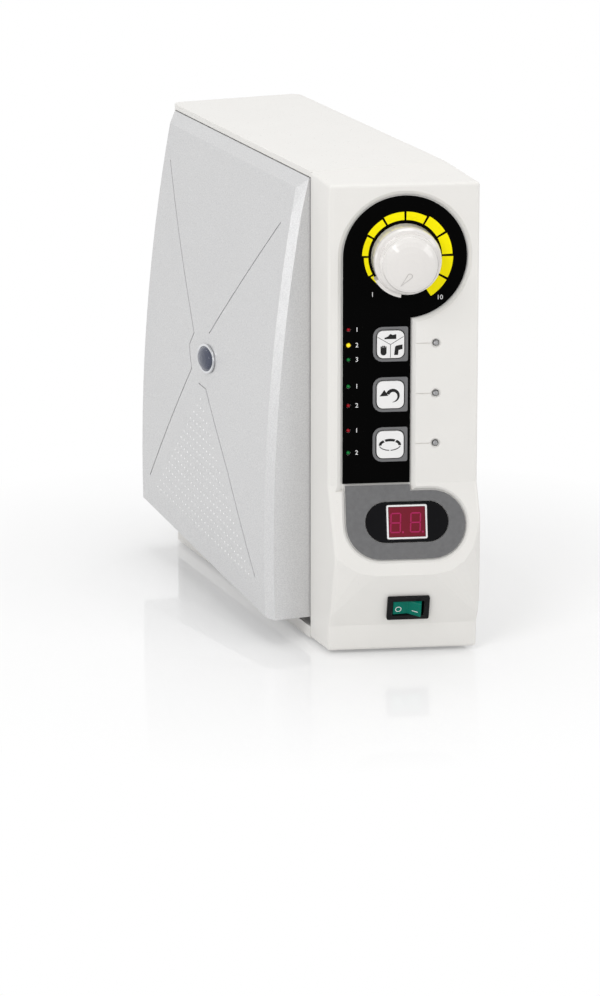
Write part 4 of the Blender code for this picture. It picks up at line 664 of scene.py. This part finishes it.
def direction_sign():
    """One arrow that turns back on itself, thick at its head and thin at its tail."""
    face = board_on("direction_key")
    bm = bmesh.new()
    outer, inner = [], []
    for i in range(ARROW_STEPS + 1):
        share = i / ARROW_STEPS
        angle = ARROW_START + ARROW_TURN * share
        width = ARROW_WIDTH - ARROW_TAPER * share ** ARROW_TAPER_POWER
        outer.append(polar(ARROW_CENTRE, ARROW_RADIUS, angle))
        inner.append(polar(ARROW_CENTRE, ARROW_RADIUS - width, angle))
    add_band(bm, face, inner, outer)
    add_patch(bm, face, in_mm(ARROW_HEAD))
    new_piece("direction_sign", bm, "direction_key_body", "dark_ink")


def cruise_sign():
    """A flat ring of five strokes, thick above and thin below."""
    face = board_on("cruise_key")
    bm = bmesh.new()
    for start, end, line in CRUISE_STROKES:
        wide, high = CRUISE_WIDE - line * MM, CRUISE_HIGH - line * MM
        outer = sweep(ORIGIN, CRUISE_WIDE, start, end, squash=CRUISE_HIGH / CRUISE_WIDE)
        inner = sweep(ORIGIN, wide, start, end, squash=high / wide)
        add_band(bm, face, inner, outer)
    new_piece("cruise_sign", bm, "cruise_key_body", "dark_ink")


# Display


SEGMENT_WIDTH = 0.75 * MM
SEGMENT_GAP = 0.09 * MM
DIGIT_WIDTH = 5.2 * MM
DIGIT_HEIGHT = 10.2 * MM
DIGIT_PITCH = 10.8 * MM
DIGIT_SHIFT = -0.7 * MM
DIGIT_DROP = 0.45 * MM
DIGIT_LEAN = 0.06
POINT_RADIUS = 0.55 * MM
POINT_OFFSET = 1.2 * MM
POINT_SIDES = 12


def segment(bm, face, start, end):
    """One bar of a digit, with pointed ends."""
    a, b = Vector(start), Vector(end)
    along = (b - a).normalized()
    side = Vector((-along.y, along.x)) * SEGMENT_WIDTH / 2
    tip = along * SEGMENT_WIDTH / 2
    a, b = a + along * SEGMENT_GAP, b - along * SEGMENT_GAP
    outline = [a, a + tip - side, b - tip - side, b, b - tip + side, a + tip + side]
    add_patch(bm, face, [(p.x + p.y * DIGIT_LEAN, p.y) for p in outline])


def display_digits():
    """Two digits with all their bars, each with a point after it."""
    face = board_on("display_window")
    bm = bmesh.new()
    centre = -DIGIT_DROP
    low, high = centre - DIGIT_HEIGHT / 2, centre + DIGIT_HEIGHT / 2
    for middle in (DIGIT_SHIFT - DIGIT_PITCH / 2, DIGIT_SHIFT + DIGIT_PITCH / 2):
        left, right = middle - DIGIT_WIDTH / 2, middle + DIGIT_WIDTH / 2
        for v in (low, centre, high):
            segment(bm, face, (left, v), (right, v))
        for u in (left, right):
            segment(bm, face, (u, low), (u, centre))
            segment(bm, face, (u, centre), (u, high))
        add_patch(bm, face, ring_points((right + POINT_OFFSET, low), POINT_RADIUS, POINT_SIDES))
    new_piece("display_digits", bm, "case", "digits")


# Power switch


O_CENTRE = (-5.3 * MM, -0.9 * MM)
O_OUTER = 1.7 * MM
O_INNER = 1.35 * MM
I_LEFT = 2.0 * MM
I_LENGTH = 3.0 * MM
I_LOW = -1.6 * MM
I_HIGH = -1.2 * MM
I_STEPS = 6


def switch_marks():
    """O and I on the two halves of the rocker."""
    rocker = JOINTS["power_rock"]
    face = Face("power_rocker", vector(rocker["pos_m"]), ACROSS, vector(rocker["axis"]))
    bm = bmesh.new()
    add_band(bm, face, ring_points(O_CENTRE, O_OUTER), ring_points(O_CENTRE, O_INNER), closed=True)
    places = [I_LEFT + I_LENGTH * i / I_STEPS for i in range(I_STEPS + 1)]
    add_band(bm, face, [(u, I_LOW) for u in places], [(u, I_HIGH) for u in places])
    new_piece("switch_marks", bm, "rocker", "ink")


# Knob pointer


POINTER_CENTRE = Vector((-0.8, -4.9)) * MM
POINTER_ANGLE = math.radians(230)
POINTER_RADIUS = 1.3 * MM
POINTER_LENGTH = 7.2 * MM
POINTER_LINE = 0.32 * MM
POINTER_PROUD = 0.14 * MM
POINTER_HALF_ARC = math.radians(105)
POINTER_ARC_STEPS = 12
POINTER_SIDE_STEPS = 6


def pointer_loop(grow):
    """The outline of a drop, grown by a distance: a round end, and two straight sides that meet in a tip."""
    along = Vector((math.cos(POINTER_ANGLE), math.sin(POINTER_ANGLE)))
    side = Vector((-along.y, along.x))
    radius = POINTER_RADIUS + grow
    points = []
    for i in range(POINTER_ARC_STEPS + 1):
        angle = POINTER_HALF_ARC * (2 * i / POINTER_ARC_STEPS - 1)
        away = side * radius * math.sin(angle) - along * radius * math.cos(angle)
        points.append(POINTER_CENTRE + away)
    first, last = points[0], points[-1]
    tip = POINTER_CENTRE + along * (POINTER_LENGTH + grow * 2)
    points += [last.lerp(tip, i / POINTER_SIDE_STEPS) for i in range(1, POINTER_SIDE_STEPS + 1)]
    points += [tip.lerp(first, i / POINTER_SIDE_STEPS) for i in range(1, POINTER_SIDE_STEPS)]
    return [tuple(point) for point in points]


def knob_pointer():
    """The drop-shaped outline on the knob's dome, as a fine raised line, grey with painted shade."""
    face = Face("knob_cap", KNOB_CENTRE, ACROSS, UP)
    bm = bmesh.new()
    inner, outer = pointer_loop(-POINTER_LINE / 2), pointer_loop(POINTER_LINE / 2)
    add_band(bm, face, inner, outer, closed=True, thickness=POINTER_PROUD)
    new_piece("knob_pointer", bm, "speed_knob", "pointer")


# Raised dots and badge on the knee panel


# The field's apex, front and rear corners, as shares of the panel's length and of the height of its top.
DOT_CORNERS = ((0.521, 0.439), (0.146, 0.126), (0.845, 0.175))
DOT_ROWS = 15
DOT_RADIUS = 0.66 * MM
DOT_PROUD = 0.4 * MM
DOT_SIDES = 10
DOT_PROFILE = ((1.0, -SINK), (0.72, DOT_PROUD * 0.62))
DOT_EDGE = math.radians(50)

BADGE_RINGS = 18
BADGE_SHARE = 0.86
BADGE_FILM = 0.12 * MM


def panel_board():
    """Looking at the knee panel from its own side: u runs to the front and v up."""
    return Face("knee_panel", Vector((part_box("knee_panel")[0].x, 0, 0)), FORWARD, UP)


def add_dot(bm, place, normal):
    """A low round dot with a blunt top."""
    crown = raised_rings(bm, place, normal, DOT_RADIUS, DOT_SIDES, DOT_PROFILE)
    top = bm.verts.new(place + normal * DOT_PROUD)
    for i in range(DOT_SIDES):
        bm.faces.new((crown[i], crown[(i + 1) % DOT_SIDES], top))


def panel_dots():
    """A triangle of dots, with two more in each row than in the row above."""
    face = panel_board()
    bm = bmesh.new()
    low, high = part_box("knee_panel")
    length = high.y - low.y
    apex, front, rear = (Vector((low.y + length * along, high.z * up)) for along, up in DOT_CORNERS)
    for row in range(DOT_ROWS):
        share = row / (DOT_ROWS - 1)
        left, right = apex.lerp(front, share), apex.lerp(rear, share)
        gaps = 2 * row
        for i in range(gaps + 1):
            spot = left.lerp(right, i / max(gaps, 1))
            place, normal = face.drop(-spot.x, spot.y)
            add_dot(bm, place, normal)
    new_piece("knee_panel_dots", bm, "knee_paddle", "dots", DOT_EDGE)


def badge_field():
    """A bare dark field in the badge's chrome rim, laid over its dome ring by ring."""
    low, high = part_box("knee_badge")
    face = Face("knee_badge", (low + high) / 2, FORWARD, UP)
    wide, tall = (high.y - low.y) / 2, (high.z - low.z) / 2
    shares = [BADGE_SHARE * (1 - i / BADGE_RINGS) for i in range(BADGE_RINGS)]
    rings = [ring_points(ORIGIN, wide * share, squash=tall / wide) for share in shares]
    bm = bmesh.new()
    for outer, inner in zip(rings, rings[1:]):
        add_band(bm, face, inner, outer, closed=True, thickness=BADGE_FILM)
    add_patch(bm, face, rings[-1], BADGE_FILM)
    new_piece("badge_field", bm, "knee_paddle", "badge")


# Screws on the rear panel


SCREW_INSET = 6 * MM
SCREW_RADIUS = 2.6 * MM
SCREW_RISE = 1.5 * MM
SCREW_SIDES = 24
SCREW_PROFILE = ((1.0, -SINK), (1.0, SCREW_RISE * 0.45), (0.9, SCREW_RISE * 0.8), (0.72, SCREW_RISE))
SCREW_EDGE = math.radians(35)
CROSS_REACH = 1.5 * MM
CROSS_HALF = 0.5 * MM
CROSS_FLOOR = SCREW_RISE * 0.35


def cross_outline():
    """The outline of the cross recess: for each arm its two end corners, and the corner to the next arm."""
    points = []
    for quarter in range(4):
        turn = math.tau * quarter / 4
        for along, aside in ((CROSS_REACH, -CROSS_HALF), (CROSS_REACH, CROSS_HALF), (CROSS_HALF, CROSS_HALF)):
            u = along * math.cos(turn) - aside * math.sin(turn)
            v = along * math.sin(turn) + aside * math.cos(turn)
            points.append((u, v))
    return points


def loop_edges(bm, loop):
    return [bm.edges.get((loop[i], loop[(i + 1) % len(loop)])) for i in range(len(loop))]


def screw_head(name, place, normal):
    """A pan head with a cross recess."""
    bm = bmesh.new()
    rim = raised_rings(bm, place, normal, SCREW_RADIUS, SCREW_SIDES, SCREW_PROFILE)
    lip = raised_loop(bm, place, normal, cross_outline(), SCREW_RISE)
    floor_loop = raised_loop(bm, place, normal, cross_outline(), CROSS_FLOOR)
    wall(bm, floor_loop, lip)
    bm.faces.new(floor_loop)
    bmesh.ops.triangle_fill(bm, edges=loop_edges(bm, lip) + loop_edges(bm, rim), use_beauty=True)
    new_piece(name, bm, "case", "steel", SCREW_EDGE)


def rear_screws():
    """One screw near each corner of the rear panel."""
    low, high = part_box("rear_panel")
    board = Face("rear_panel", Vector((0, high.y, 0)), Vector((-1, 0, 0)), UP)
    count = 1
    for x in (low.x + SCREW_INSET, high.x - SCREW_INSET):
        for z in (low.z + SCREW_INSET, high.z - SCREW_INSET):
            place, normal = board.drop(-x, z)
            screw_head(f"rear_screw_{count}", place, normal)
            count += 1


# Floor, light and camera


PLAIN_WHITE = (1, 1, 1, 1)
ROOM_STRENGTH = 0.52

# The floor shows its shading within FADE_START of the middle, apart from a share of plain white, FLOOR_HOLD.
# From there it turns to plain white at FADE_END.
FLOOR_RADIUS = 2.2
FLOOR_SIDES = 96
FLOOR_COLOUR = (0.93, 0.93, 0.93, 1)
FLOOR_CLOUDS = 3.0
FLOOR_SMOOTH = 0.03
FLOOR_ROUGH = 0.06
FLOOR_HOLD = 0.25
FADE_START = 0.13
FADE_END = 0.31

# Each lamp has its name, place, size and power.
LAMPS = (
    ("key_light", (-1.3, -1.1, 1.3), (1.0, 1.0), 14),
    ("fill_light", (1.2, -1.6, 0.9), (1.2, 1.2), 9),
    ("top_light", (0.0, 0.1, 1.8), (1.0, 1.0), 8),
    ("side_light", (-1.6, 0.3, 0.12), (0.8, 0.8), 2.5),
)
LAMP_TARGET = Vector((0, 0, 0.12))

AIM = Vector((-19.3, -45.1, 71.9)) * MM
CAMERA_DISTANCE = 2531 * MM
CAMERA_YAW = math.radians(-21.55)
CAMERA_PITCH = math.radians(15.44)
LENS = 166.0
SENSOR_WIDTH = 36
CLIP_END = 20


def room():
    """Plain strength for the light on the object, and full white for what the camera and mirrors see."""
    world = bpy.data.worlds.new("room")
    world.use_nodes = True
    tree = world.node_tree
    background = tree.nodes["Background"]
    set_inputs(background, {"Color": PLAIN_WHITE})
    seen = seen_by(tree, "Is Camera Ray", "Is Glossy Ray", "Is Transmission Ray")
    strength = remap(tree, seen, ROOM_STRENGTH, 1.0, ends=(0, 1))
    tree.links.new(strength, background.inputs["Strength"])
    bpy.context.scene.world = world


def floor_material():
    """Glossy white: it holds the object's shadow and reflection near it, and is plain white further out."""
    material, tree, shader = new_material("floor_white")
    set_inputs(shader, {"Base Color": FLOOR_COLOUR})
    clouds = remap(tree, noise(tree, FLOOR_CLOUDS), FLOOR_SMOOTH, FLOOR_ROUGH)
    tree.links.new(clouds, shader.inputs["Roughness"])
    glow = tree.nodes.new("ShaderNodeEmission")
    set_inputs(glow, {"Color": PLAIN_WHITE})
    length = tree.nodes.new("ShaderNodeVectorMath")
    length.operation = "LENGTH"
    tree.links.new(object_place(tree), length.inputs[0])
    fade = remap(tree, length.outputs["Value"], FLOOR_HOLD, 1.0, ends=(FADE_START, FADE_END))
    white = calculate(tree, "MULTIPLY", fade, seen_by(tree, "Is Camera Ray", "Is Glossy Ray"))
    mix = tree.nodes.new("ShaderNodeMixShader")
    tree.links.new(white, mix.inputs["Fac"])
    tree.links.new(shader.outputs["BSDF"], mix.inputs[1])
    tree.links.new(glow.outputs["Emission"], mix.inputs[2])
    tree.links.new(mix.outputs["Shader"], tree.nodes["Material Output"].inputs["Surface"])
    return material


def floor():
    bm = bmesh.new()
    bmesh.ops.create_circle(bm, cap_ends=True, radius=FLOOR_RADIUS, segments=FLOOR_SIDES)
    mesh = bpy.data.meshes.new("floor")
    bm.to_mesh(mesh)
    bm.free()
    mesh.materials.append(floor_material())
    disc = bpy.data.objects.new("floor", mesh)
    bpy.context.scene.collection.objects.link(disc)


def lights():
    for name, place, size, power in LAMPS:
        light = bpy.data.lights.new(name, "AREA")
        light.shape = "RECTANGLE"
        light.size, light.size_y = size
        light.energy = power
        lamp = bpy.data.objects.new(name, light)
        lamp.location = place
        lamp.rotation_euler = (LAMP_TARGET - Vector(place)).to_track_quat("-Z", "Y").to_euler()
        bpy.context.scene.collection.objects.link(lamp)


def camera():
    """The photograph's view: a long lens, far off, from a little above and to the left."""
    back = Vector((
        math.sin(CAMERA_YAW) * math.cos(CAMERA_PITCH),
        -math.cos(CAMERA_YAW) * math.cos(CAMERA_PITCH),
        math.sin(CAMERA_PITCH),
    ))
    data = bpy.data.cameras.new("camera")
    data.lens = LENS
    data.sensor_width = SENSOR_WIDTH
    data.clip_end = CLIP_END
    cam = bpy.data.objects.new("camera", data)
    cam.location = AIM + back * CAMERA_DISTANCE
    cam.rotation_mode = "QUATERNION"
    cam.rotation_quaternion = (-back).to_track_quat("-Z", "Y")
    bpy.context.scene.collection.objects.link(cam)
    bpy.context.scene.camera = cam


camera()
finish_nodes()
dial_scale()
dial_numbers()
lamp_numbers()
mode_sign()
direction_sign()
cruise_sign()
display_digits()
switch_marks()
knob_pointer()
panel_dots()
badge_field()
rear_screws()
room()
floor()
lights()
bpy.context.scene.view_settings.view_transform = "Standard"
